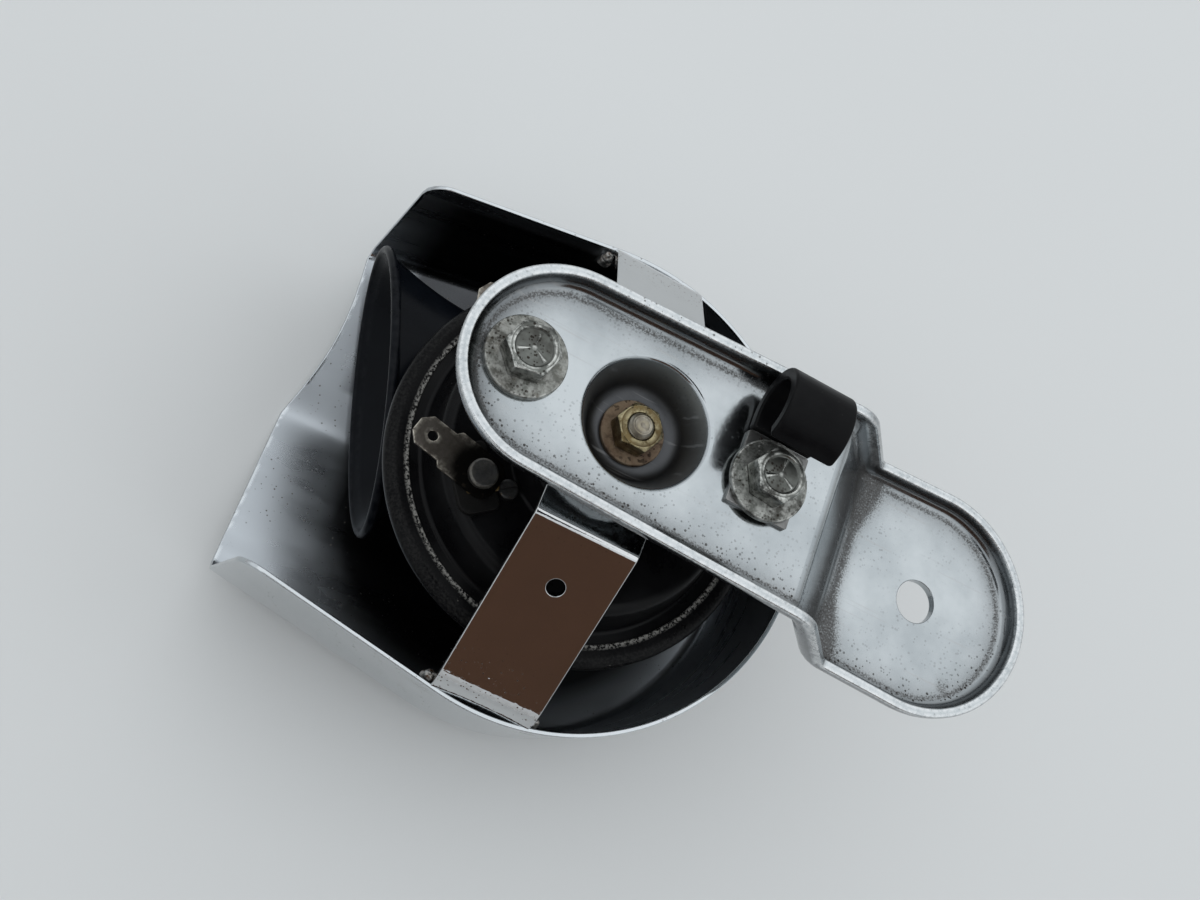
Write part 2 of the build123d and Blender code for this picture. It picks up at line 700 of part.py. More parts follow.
def make_trumpet():
    stations = tube_stations()
    outside = loft([tube_section(station, 0)[1] for station in stations])
    base = disc(trumpet_base_r, dish_bottom - trumpet_base_t, dish_bottom)
    base = fillet(base.edges().group_by(Axis.Z)[0], 1.5)
    mouth_plane, mouth_face = tube_section(stations[-1], -lip_r)
    bead = extrude(mouth_face, -2 * lip_r)
    bead = fillet(bead.edges(), lip_r * 0.7)
    body = outside + base + bead
    inside = loft([tube_section(station, trumpet_wall)[1] for station in stations])
    past_mouth = extrude(tube_section(stations[-1], trumpet_wall)[1], 4 * lip_r)
    body -= inside
    body -= past_mouth
    body -= disc(throat_chamber_r, dish_bottom - throat_chamber_h, dish_bottom + 1)
    throat_x, throat_y = stations[0][:2]
    start_face_gap = tube_start[0] * 0.6
    heading = radians(stations[0][2])
    hole = Pos(throat_x + start_face_gap * cos(heading), throat_y + start_face_gap * sin(heading),
               dish_bottom - trumpet_base_t)
    body -= hole * Cylinder(throat_r, 2 * trumpet_base_t + 2)
    return body


# ---- the nodes -----------------------------------------------------------------------------
def all_nodes():
    block, fixed, spacer, moving = contact_levels()
    sides = (-1, 1)
    pair = (0, 1)
    bore = bolt_r + thread_gap
    nut_low = -bracket_sheet - nut_h
    stud_seat = cup_floor + stud_washer_t
    return {
        "bracket": make_bracket(),
        "bracket_bolts": [make_bolt(side) for side in sides],
        "bolt_washers": [make_spring_washer(side) for side in sides],
        "bolt_nuts": [Pos(side * bolt_x, 0, 0) * make_nut(nut_low, nut_af, nut_h, bore)
                      for side in sides],
        "cable_clip": make_clip(),
        "clip_sleeve": make_clip_sleeve(),
        "core_stud": make_core(),
        "stud_nut": make_nut(stud_seat, nut_af, nut_h, stud_r + thread_gap),
        "stud_washer": ring(stud_washer_r, stud_r + 0.2, cup_floor, stud_seat),
        "core_nut": make_nut(can_top, core_nut_af, core_nut_h, stud_r + thread_gap),
        "cover_shell": make_cover(),
        "cover_strap": make_strap(),
        "strap_welds": make_welds(),
        "back_housing": make_housing(),
        "front_plate": make_front_plate(),
        "rim_gaskets": make_gaskets(),
        "diaphragm": make_diaphragm(),
        "armature": make_armature(),
        "coil_bobbin": make_bobbin(),
        "coil_winding": make_winding(),
        "contact_block": make_contact_block(),
        "fixed_contact_spring": contact_plate(fixed_spring_tip, fixed, contact_spring_t),
        "contact_spacer": contact_plate(contact_x - contact_block[0] / 2, spacer, contact_spacer_t),
        "moving_contact_spring": contact_plate(moving_spring_tip, moving, contact_spring_t),
        "contact_points": make_contact_points(),
        "contact_rivet": make_contact_rivet(),
        "lower_terminal": make_blade(0),
        "upper_terminal": make_blade(1),
        "terminal_insulators": [make_insulator(index, outside)
                                for index in pair for outside in (True, False)],
        "terminal_washers": [make_brass_washer(index) for index in pair],
        "terminal_rivets": [make_rivet(index) for index in pair],
        "adjusting_screw": make_adjuster(),
        "trumpet": make_trumpet(),
    }


os.makedirs("parts", exist_ok=True)
for name, piece in all_nodes().items():
    solids = piece if isinstance(piece, list) else [piece]
    node = Compound(children=[solid for item in solids for solid in (eye_origin * item).solids()])
    node.label = name
    export_step(node, f"parts/{name}.step")
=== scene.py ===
import json

import bmesh
import bpy
import numpy as np
from mathutils import Matrix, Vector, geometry


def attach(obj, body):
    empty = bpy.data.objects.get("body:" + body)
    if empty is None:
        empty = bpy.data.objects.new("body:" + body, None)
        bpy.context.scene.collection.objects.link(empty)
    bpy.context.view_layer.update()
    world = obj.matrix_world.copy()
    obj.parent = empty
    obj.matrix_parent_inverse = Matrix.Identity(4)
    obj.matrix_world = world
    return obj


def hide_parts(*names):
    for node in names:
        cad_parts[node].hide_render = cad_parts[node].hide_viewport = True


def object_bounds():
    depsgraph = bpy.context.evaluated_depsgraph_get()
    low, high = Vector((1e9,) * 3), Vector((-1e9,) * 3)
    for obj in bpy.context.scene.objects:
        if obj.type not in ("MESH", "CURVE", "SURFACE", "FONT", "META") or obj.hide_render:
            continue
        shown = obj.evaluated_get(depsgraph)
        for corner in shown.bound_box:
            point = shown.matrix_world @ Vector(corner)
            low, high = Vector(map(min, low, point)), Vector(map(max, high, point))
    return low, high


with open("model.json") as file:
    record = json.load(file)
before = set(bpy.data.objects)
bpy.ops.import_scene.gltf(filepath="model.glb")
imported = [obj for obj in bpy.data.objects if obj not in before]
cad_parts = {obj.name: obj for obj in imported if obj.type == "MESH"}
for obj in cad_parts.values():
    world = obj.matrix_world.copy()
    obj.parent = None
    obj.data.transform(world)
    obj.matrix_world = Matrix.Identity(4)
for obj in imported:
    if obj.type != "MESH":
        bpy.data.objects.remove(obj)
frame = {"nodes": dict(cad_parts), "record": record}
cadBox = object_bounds()
print("horn frame loaded:", len(frame["nodes"]), "CAD nodes")

# Shapes are worked out in millimetres about the horn's stud, with z = 0 at the bracket's main
# floor, and moved to the mounting eye in metres when they become meshes.
eyeShift = np.array([-84.8, 0.0, 19.8])
rad = np.pi / 180


# Shapes: paths, grids and plates.
def roundedPath(corners, closed=False, steps=8):
    # Runs between corners (u, v, radius); a corner with a radius is swapped for the arc of that
    # radius which touches both of its runs.
    parts = []
    last = len(corners) - 1
    for index, corner in enumerate(corners):
        here = np.array(corner[:2], float)
        if len(corner) < 3 or corner[2] <= 0 or (not closed and index in (0, last)):
            parts.append(here[None])
            continue
        before = np.array(corners[index - 1][:2], float) - here
        after = np.array(corners[(index + 1) % len(corners)][:2], float) - here
        before /= np.hypot(*before)
        after /= np.hypot(*after)
        opening = np.arccos(np.clip(before @ after, -1, 1))
        if opening > 179.5 * rad:
            parts.append(here[None])
            continue
        reach = corner[2] / np.tan(opening / 2)
        middle = here + (before + after) / np.hypot(*(before + after)) * corner[2] / np.sin(opening / 2)
        start = here + before * reach - middle
        end = here + after * reach - middle
        sweep = np.arctan2(start[0] * end[1] - start[1] * end[0], start @ end)
        angle = np.arctan2(start[1], start[0]) + sweep * np.linspace(0, 1, steps + 1)
        parts.append(middle + corner[2] * np.stack([np.cos(angle), np.sin(angle)], 1))
    return np.vstack(parts)


def sheetSection(path, thickness, edge=0.3, steps=8):
    # The closed outline of a sheet that lies on the right of a path of corners: the path, and the
    # same path moved square to its runs by the thickness; the four end corners are eased.
    points = np.array([corner[:2] for corner in path], float)
    runs = np.diff(points, axis=0)
    normals = np.stack([runs[:, 1], -runs[:, 0]], 1) / np.hypot(runs[:, 0], runs[:, 1])[:, None]
    far = []
    for index, corner in enumerate(path):
        near = normals[max(index - 1, 0):index + 1]
        total = near.sum(0)
        moved = points[index] + total * thickness * len(near) / (total @ total)
        radius = corner[2] if len(corner) == 3 else 0
        if radius and len(near) == 2:
            turn = near[0, 0] * near[1, 1] - near[0, 1] * near[1, 0]
            radius += thickness if turn > 0 else -thickness
        far.append((moved[0], moved[1], max(radius, 0)))
    ring = [tuple(corner) for corner in path] + far[::-1]
    for index in (0, len(path) - 1, len(path), len(ring) - 1):
        ring[index] = (ring[index][0], ring[index][1], edge)
    return roundedPath(ring, closed=True, steps=steps)


def gridShell(points, wrapU=False, wrapV=False):
    # Joins a grid of points (u, v, xyz) by quads, with the last row joined to the first if asked.
    countU, countV = points.shape[:2]
    index = np.arange(countU * countV).reshape(countU, countV)
    if wrapU:
        index = np.vstack([index, index[:1]])
    if wrapV:
        index = np.hstack([index, index[:, :1]])
    quads = np.stack([index[:-1, :-1], index[1:, :-1], index[1:, 1:], index[:-1, 1:]], -1)
    return points.reshape(-1, 3), quads.reshape(-1, 4)


def turnedShell(section, steps=144, centre=(0, 0)):
    # A closed section (r, z) carried once round the upright line through the centre.
    angle = np.linspace(0, 2 * np.pi, steps, endpoint=False)
    radius = section[:, 0][:, None]
    level = np.broadcast_to(section[:, 1][:, None], (len(section), steps))
    grid = np.stack([centre[0] + radius * np.cos(angle), centre[1] + radius * np.sin(angle), level], -1)
    return gridShell(grid, wrapU=True, wrapV=True)


def loopNormals(points):
    # At each point of a closed loop, the unit vector square to the chord between its neighbours,
    # pointing away from what the loop surrounds.
    chord = np.roll(points, -1, 0) - np.roll(points, 1, 0)
    normal = np.stack([chord[:, 1], -chord[:, 0]], 1) / np.hypot(chord[:, 0], chord[:, 1])[:, None]
    following = np.roll(points, -1, 0)
    area = (points[:, 0] * following[:, 1] - points[:, 1] * following[:, 0]).sum()
    return normal * np.sign(area)


def circleLoop(x, y, radius, count=64):
    angle = np.linspace(0, 2 * np.pi, count, endpoint=False)
    return np.stack([x + radius * np.cos(angle), y + radius * np.sin(angle)], 1)


def holeLoop(x, y, radius, count, rows):
    return circleLoop(x, y, radius, count), rows, True


def roundedBox(lowX, highX, lowY, highY, radius, steps):
    corners = ((lowX, lowY), (highX, lowY), (highX, highY), (lowX, highY))
    return roundedPath([(x, y, radius) for x, y in corners], closed=True, steps=steps)


def denseLoop(points, gap):
    # The same closed loop with its long sides divided, so that it can follow a bent path.
    closed = np.vstack([points, points[:1]])
    length = np.concatenate([[0], np.cumsum(np.hypot(*np.diff(closed, axis=0).T))])
    extra = np.arange(0, length[-1], gap)
    extra = extra[np.abs(extra[:, None] - length[None]).min(1) > 0.3 * gap]
    at = np.sort(np.concatenate([length[:-1], extra]))
    return np.stack([np.interp(at, length, closed[:, axis]) for axis in (0, 1)], 1)


def easedRows(high, low, edge, steps=3):
    # From the upper face over a quarter circle, down the edge, and over a quarter circle again.
    angle = np.linspace(0, 90, steps + 1) * rad
    upper = [(edge * (1 - np.sin(a)), high - edge * (1 - np.cos(a))) for a in angle]
    lower = [(edge * (1 - np.sin(a)), low + edge * (1 - np.cos(a))) for a in angle[::-1]]
    return upper + lower


def insideLoop(points, loop):
    # A point is inside where a line from it to the right crosses the loop an odd number of times.
    x, y = points[:, 0][:, None], points[:, 1][:, None]
    ax, ay = loop[:, 0], loop[:, 1]
    bx, by = np.roll(ax, -1), np.roll(ay, -1)
    crosses = (ay > y) != (by > y)
    rise = np.where(by == ay, 1e-12, by - ay)
    return (crosses & (x < (bx - ax) * (y - ay) / rise + ax)).sum(1) % 2 == 1


def plateShells(loops, place, inner=None):
    # A plate inside the first loop and outside the others. Each loop (points, rows, isHole) has
    # rows (inset, height) that lead round its edge from the upper face to the lower one, and
    # place(uv, height) puts a plan point at its height in space.
    shells = []
    rims = []
    for points, rows, isHole in loops:
        outward = loopNormals(points) * (-1 if isHole else 1)
        inset = np.array([row[0] for row in rows])
        height = np.array([row[1] for row in rows])
        plan = points[None] - inset[:, None, None] * outward[None]
        grid = place(plan.reshape(-1, 2), np.repeat(height, len(points)))
        shells.append(gridShell(grid.reshape(len(rows), len(points), 3), wrapV=True))
        rims.append(plan[0])
    plan = np.vstack(rims + ([] if inner is None else [inner]))
    starts = np.cumsum([0] + [len(rim) for rim in rims])
    edges = np.vstack([np.stack([np.arange(len(rim)), np.roll(np.arange(len(rim)), -1)], 1) + start
                       for rim, start in zip(rims, starts)])
    cut = geometry.delaunay_2d_cdt(plan.tolist(), edges.tolist(), [], 0, 1e-6)
    corners = np.array([tuple(point) for point in cut[0]])
    faces = np.array([face[:3] for face in cut[2]])
    middle = corners[faces].mean(1)
    keep = insideLoop(middle, rims[0])
    for rim in rims[1:]:
        keep &= ~insideLoop(middle, rim)
    faces = faces[keep]
    faces = np.hstack([faces, faces[:, 2:]])
    for level in (loops[0][1][0][1], loops[0][1][-1][1]):
        shells.append((place(corners, np.full(len(corners), level)), faces))
    return shells


def pathFrame(path):
    # Length along an open path, and the unit vector on its left at each point.
    run = np.diff(path, axis=0)
    length = np.concatenate([[0], np.cumsum(np.hypot(run[:, 0], run[:, 1]))])
    slope = np.gradient(path, length, axis=0)
    slope /= np.hypot(slope[:, 0], slope[:, 1])[:, None]
    return length, np.stack([-slope[:, 1], slope[:, 0]], 1)


def alongPath(path, x=0.0):
    # Returns place(uv, height): u goes across in x, v is the length along the path in (y, z), and
    # the height is measured square to the path, on its left.
    length, left = pathFrame(path)

    def place(plan, height):
        spot = np.stack([np.interp(plan[:, 1], length, path[:, axis]) for axis in (0, 1)], 1)
        away = np.stack([np.interp(plan[:, 1], length, left[:, axis]) for axis in (0, 1)], 1)
        away /= np.hypot(away[:, 0], away[:, 1])[:, None]
        spot = spot + away * height[:, None]
        return np.stack([x + plan[:, 0], spot[:, 0], spot[:, 1]], 1)

    return place, length


def planGrid(xs, ys):
    return np.stack(np.meshgrid(xs, ys, indexing="ij"), -1).reshape(-1, 2)


def bandPoints(length, half, gap=3.0):
    # Rows of plan points across a band at every point of its path, none further apart than gap.
    extra = np.arange(length[0], length[-1], gap)
    rows = np.unique(np.round(np.concatenate([length, extra]), 3))
    rows = rows[(rows > length[0] + 0.6) & (rows < length[-1] - 0.6)]
    across = np.linspace(-half, half, 9)
    return planGrid(across, rows)


# From shapes to pieces.
def setNormals(mesh):
    # Each point's normal is the sum of its faces' normals times their areas, so a flat face stays
    # flat up to its eased edge; "edge" marks the points that stand out from their neighbours.
    mesh.calc_loop_triangles()
    spots = np.empty(len(mesh.vertices) * 3)
    mesh.vertices.foreach_get("co", spots)
    spots = spots.reshape(-1, 3)
    tri = np.empty(len(mesh.loop_triangles) * 3, np.int32)
    mesh.loop_triangles.foreach_get("vertices", tri)
    tri = tri.reshape(-1, 3)
    push = np.cross(spots[tri[:, 1]] - spots[tri[:, 0]], spots[tri[:, 2]] - spots[tri[:, 0]])
    sums = [np.bincount(tri.ravel(), np.repeat(push[:, axis], 3), len(spots)) for axis in range(3)]
    normal = np.stack(sums, 1)
    normal /= np.maximum(np.linalg.norm(normal, axis=1), 1e-20)[:, None]
    pairs = np.empty(len(mesh.edges) * 2, np.int32)
    mesh.edges.foreach_get("vertices", pairs)
    pairs = pairs.reshape(-1, 2)
    way = spots[pairs[:, 1]] - spots[pairs[:, 0]]
    way /= np.maximum(np.linalg.norm(way, axis=1), 1e-9)[:, None]
    drop = np.concatenate([-(normal[pairs[:, 0]] * way).sum(1), (normal[pairs[:, 1]] * way).sum(1)])
    ends = np.concatenate([pairs[:, 0], pairs[:, 1]])
    mean = np.bincount(ends, drop, len(spots)) / np.maximum(np.bincount(ends, minlength=len(spots)), 1)
    edge = mesh.attributes.new("edge", "FLOAT", "POINT")
    edge.data.foreach_set("value", np.clip(mean * 8, 0, 1))
    mesh.normals_split_custom_set_from_vertices(normal)


def makePiece(name, shells, finishName, nodes, masks=None, lining=None):
    # Joins the shells, merges their doubles, turns the faces outwards and hands the piece over.
    # The masks are functions of the points about the stud, and lining is a value for each shell.
    counts = [len(points) for points, _ in shells]
    starts = np.cumsum([0] + counts)
    points = np.vstack([points for points, _ in shells])
    quads = np.vstack([faces + start for (_, faces), start in zip(shells, starts)])
    same = quads[:, 2] == quads[:, 3]
    faces = quads[~same].tolist() + quads[same][:, :3].tolist()
    mesh = bpy.data.meshes.new(name)
    mesh.from_pydata(((points + eyeShift) / 1000).tolist(), [], faces)
    if lining is not None:
        layer = mesh.attributes.new("lining", "FLOAT", "POINT")
        layer.data.foreach_set("value", np.repeat(lining, counts).astype(np.float32))
    work = bmesh.new()
    work.from_mesh(mesh)
    bmesh.ops.remove_doubles(work, verts=work.verts, dist=3e-6)
    bmesh.ops.dissolve_degenerate(work, dist=1e-7, edges=work.edges)
    bmesh.ops.recalc_face_normals(work, faces=work.faces)
    work.to_mesh(mesh)
    work.free()
    mesh.shade_smooth()
    setNormals(mesh)
    spots = np.empty(len(mesh.vertices) * 3)
    mesh.vertices.foreach_get("co", spots)
    spots = spots.reshape(-1, 3) * 1000 - eyeShift
    for label, mask in (masks or {}).items():
        layer = mesh.attributes.new(label, "FLOAT", "POINT")
        layer.data.foreach_set("value", np.clip(mask(spots), 0, 1).astype(np.float32))
    mesh.materials.append(finishes[finishName])
    piece = bpy.data.objects.new(name, mesh)
    bpy.context.scene.collection.objects.link(piece)
    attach(piece, "root")
    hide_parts(*nodes)
    return piece


# Finishes.
def link(tree, start, end):
    tree.links.new(start, end)


def addNode(tree, kind, **values):
    node = tree.nodes.new(kind)
    for key, value in values.items():
        if key in node.inputs:
            node.inputs[key].default_value = value
        else:
            setattr(node, key, value)
    return node


def noiseNode(tree, vector, scale, detail=3.0, rough=0.55, stretch=None):
    if stretch is not None:
        mapping = addNode(tree, "ShaderNodeMapping", Scale=stretch)
        link(tree, vector, mapping.inputs["Vector"])
        vector = mapping.outputs["Vector"]
    node = addNode(tree, "ShaderNodeTexNoise", Scale=scale, Detail=detail, Roughness=rough)
    link(tree, vector, node.inputs["Vector"])
    return node.outputs["Fac"]


def rangeNode(tree, value, fromLow, fromHigh, low=0.0, high=1.0):
    node = tree.nodes.new("ShaderNodeMapRange")
    link(tree, value, node.inputs["Value"])
    for key, amount in (("From Min", fromLow), ("From Max", fromHigh), ("To Min", low), ("To Max", high)):
        node.inputs[key].default_value = amount
    return node.outputs["Result"]


def mathNode(tree, operation, first, second):
    node = addNode(tree, "ShaderNodeMath", operation=operation, use_clamp=operation != "SUBTRACT")
    for socket, value in zip(node.inputs, (first, second)):
        if isinstance(value, (int, float)):
            socket.default_value = value
        else:
            link(tree, value, socket)
    return node.outputs["Value"]


def mixNode(tree, factor, first, second):
    node = addNode(tree, "ShaderNodeMix", data_type="RGBA")
    link(tree, factor, node.inputs[0])
    for socket, value in ((node.inputs[6], first), (node.inputs[7], second)):
        if isinstance(value, tuple):
            socket.default_value = (*value, 1)
        else:
            link(tree, value, socket)
    return node.outputs[2]


def timesNode(tree, value, amount):
    return mathNode(tree, "MULTIPLY", value, amount)


def addedNode(tree, value, mask, amount):
    # The value plus the mask times the amount.
    return mathNode(tree, "ADD", value, timesNode(tree, mask, amount))


def attributeNode(tree, label):
    return addNode(tree, "ShaderNodeAttribute", attribute_name=label).outputs["Fac"]


def makeFinish(name, look):
    # Two tones by a cloudy noise, specks by small cells or a fine noise, hairline scratches by a stretched
    # noise, worn or stained places where the edge or the piece's own mask beats a noise, and painted shade
    # where the piece's "deep" mask asks for it. The same masks drive the gloss and the relief.
    material = bpy.data.materials.new(name)
    material.use_nodes = True
    tree = material.node_tree
    shader = tree.nodes["Principled BSDF"]
    place = tree.nodes.new("ShaderNodeTexCoord").outputs["Object"]
    cloud = noiseNode(tree, place, look.get("cloudScale", 60), 4, 0.6)
    tone = mixNode(tree, rangeNode(tree, cloud, 0.38, 0.64), look["colour"], look["shade"])
    gloss = rangeNode(tree, cloud, 0.35, 0.7, look["rough"][0], look["rough"][1])
    if "lining" in look:
        inside = attributeNode(tree, "lining")
        streaks = noiseNode(tree, place, 90, 3, 0.6, stretch=(0.3, 0.3, 3.0))
        streaks = rangeNode(tree, streaks, 0.3, 0.7, look["lining"][0], look["lining"][1])
        gloss = mathNode(tree, "MAXIMUM", gloss, timesNode(tree, inside, streaks))
        tone = mixNode(tree, inside, tone, look["liningColour"])
    # painted shade: where the piece's "deep" mask is high the colour is mixed towards a dark one and roughness
    # is added
    if "deep" in look:
        deep = attributeNode(tree, "deep")
        if "lining" in look:
            deep = timesNode(tree, deep, inside)
        tone = mixNode(tree, deep, tone, look["deep"])
        gloss = addedNode(tree, gloss, deep, look.get("deepRough", 0.15))
    if "matte" in look:
        gloss = addedNode(tree, gloss, attributeNode(tree, "matte"), look["matte"])
    fine = noiseNode(tree, place, look.get("fineScale", 900), 5, 0.6)
    height = timesNode(tree, fine, look.get("grain", 0.3))
    if "speck" in look:
        patch = rangeNode(tree, noiseNode(tree, place, look.get("patchScale", 45), 2, 0.5), 0.42, 0.62)
        if "grime" in look:
            thin = timesNode(tree, patch, look["grime"])
            patch = mathNode(tree, "MAXIMUM", thin, attributeNode(tree, "grime"))
        if "dots" in look:
            cells = addNode(tree, "ShaderNodeTexVoronoi", Scale=look["speckScale"])
            link(tree, place, cells.inputs["Vector"])
            size = rangeNode(tree, cells.outputs["Color"], 0.4, 0.8, 0.0, look["dots"])
            spots = rangeNode(tree, mathNode(tree, "SUBTRACT", size, cells.outputs["Distance"]), 0.0, 0.05)
        else:
            threshold = look.get("speckFrom", 0.68)
            speckNoise = noiseNode(tree, place, look.get("speckScale", 700), 2, 0.5)
            spots = rangeNode(tree, speckNoise, threshold, threshold + 0.03)
        spots = timesNode(tree, spots, patch)
        tone = mixNode(tree, spots, tone, look["speck"])
        gloss = addedNode(tree, gloss, spots, 0.35)
        height = addedNode(tree, height, spots, look.get("speckRise", 0.3))
    if "scratch" in look:
        lines = noiseNode(tree, place, 260, 2, 0.5, stretch=(0.12, 3.0, 1.0))
        lines = rangeNode(tree, lines, 0.62, 0.72)
        tone = mixNode(tree, timesNode(tree, lines, 0.35), tone, look["scratch"])
        gloss = addedNode(tree, gloss, lines, 0.12)
    if "worn" in look:
        ragged = noiseNode(tree, place, look.get("wornScale", 420), 5, 0.7)
        chipped = rangeNode(tree, ragged, 0.42, 0.6, 0.0, look.get("edgeWear", 0.8))
        edgeWear = timesNode(tree, attributeNode(tree, "edge"), chipped)
        if "deep" in look:
            edgeWear = timesNode(tree, edgeWear, mathNode(tree, "SUBTRACT", 1.0, deep))
        level = look.get("wornFrom", 0.5)
        spread = look.get("wornSpread", 0.04)
        maskWear = rangeNode(tree, ragged, level - spread, level + spread)
        maskWear = timesNode(tree, attributeNode(tree, "worn"), maskWear)
        wear = mathNode(tree, "MAXIMUM", edgeWear, maskWear)
        tone = mixNode(tree, wear, tone, look["worn"])
        gloss = addedNode(tree, gloss, wear, look.get("wornRough", 0.3))
        height = mathNode(tree, "SUBTRACT", height, timesNode(tree, maskWear, look.get("wornDepth", 0.6)))
    if "stain" in look:
        ragged = rangeNode(tree, noiseNode(tree, place, look.get("stainScale", 500), 5, 0.7), 0.3, 0.7)
        mask = attributeNode(tree, "stain")
        clean = mathNode(tree, "SUBTRACT", 1.0, ragged)
        clots = rangeNode(tree, mathNode(tree, "SUBTRACT", mask, clean), 0.0, 0.35, 0.0, 0.45)
        film = rangeNode(tree, ragged, 0.0, 1.0, 0.25, 0.6)
        stain = addedNode(tree, clots, mask, film)
        tone = mixNode(tree, stain, tone, look["stain"])
        gloss = addedNode(tree, gloss, stain, look.get("stainRough", 0.4))
        if look.get("metal", 0):
            bare = mathNode(tree, "SUBTRACT", 1.0, timesNode(tree, stain, look.get("stainDull", 1.0)))
            link(tree, timesNode(tree, bare, look["metal"]), shader.inputs["Metallic"])
    bump = addNode(tree, "ShaderNodeBump", Strength=look.get("relief", 0.3),
                   Distance=look.get("depth", 0.0002))
    link(tree, height, bump.inputs["Height"])
    if "ripple" in look:
        wave = noiseNode(tree, place, look.get("rippleScale", 70), 1, 0.4)
        if "peel" in look:
            peel = noiseNode(tree, place, look.get("peelScale", 300), 1, 0.4)
            wave = addedNode(tree, wave, timesNode(tree, peel, attributeNode(tree, "peel")), look["peel"])
        wide = addNode(tree, "ShaderNodeBump", Strength=1.0, Distance=look["ripple"])
        link(tree, wave, wide.inputs["Height"])
        link(tree, wide.outputs["Normal"], bump.inputs["Normal"])
    link(tree, tone, shader.inputs["Base Color"])
    link(tree, gloss, shader.inputs["Roughness"])
    link(tree, bump.outputs["Normal"], shader.inputs["Normal"])
    if not shader.inputs["Metallic"].is_linked:
        shader.inputs["Metallic"].default_value = look.get("metal", 0.0)
    shader.inputs["Specular IOR Level"].default_value = look.get("gleam", 0.5)
    return material


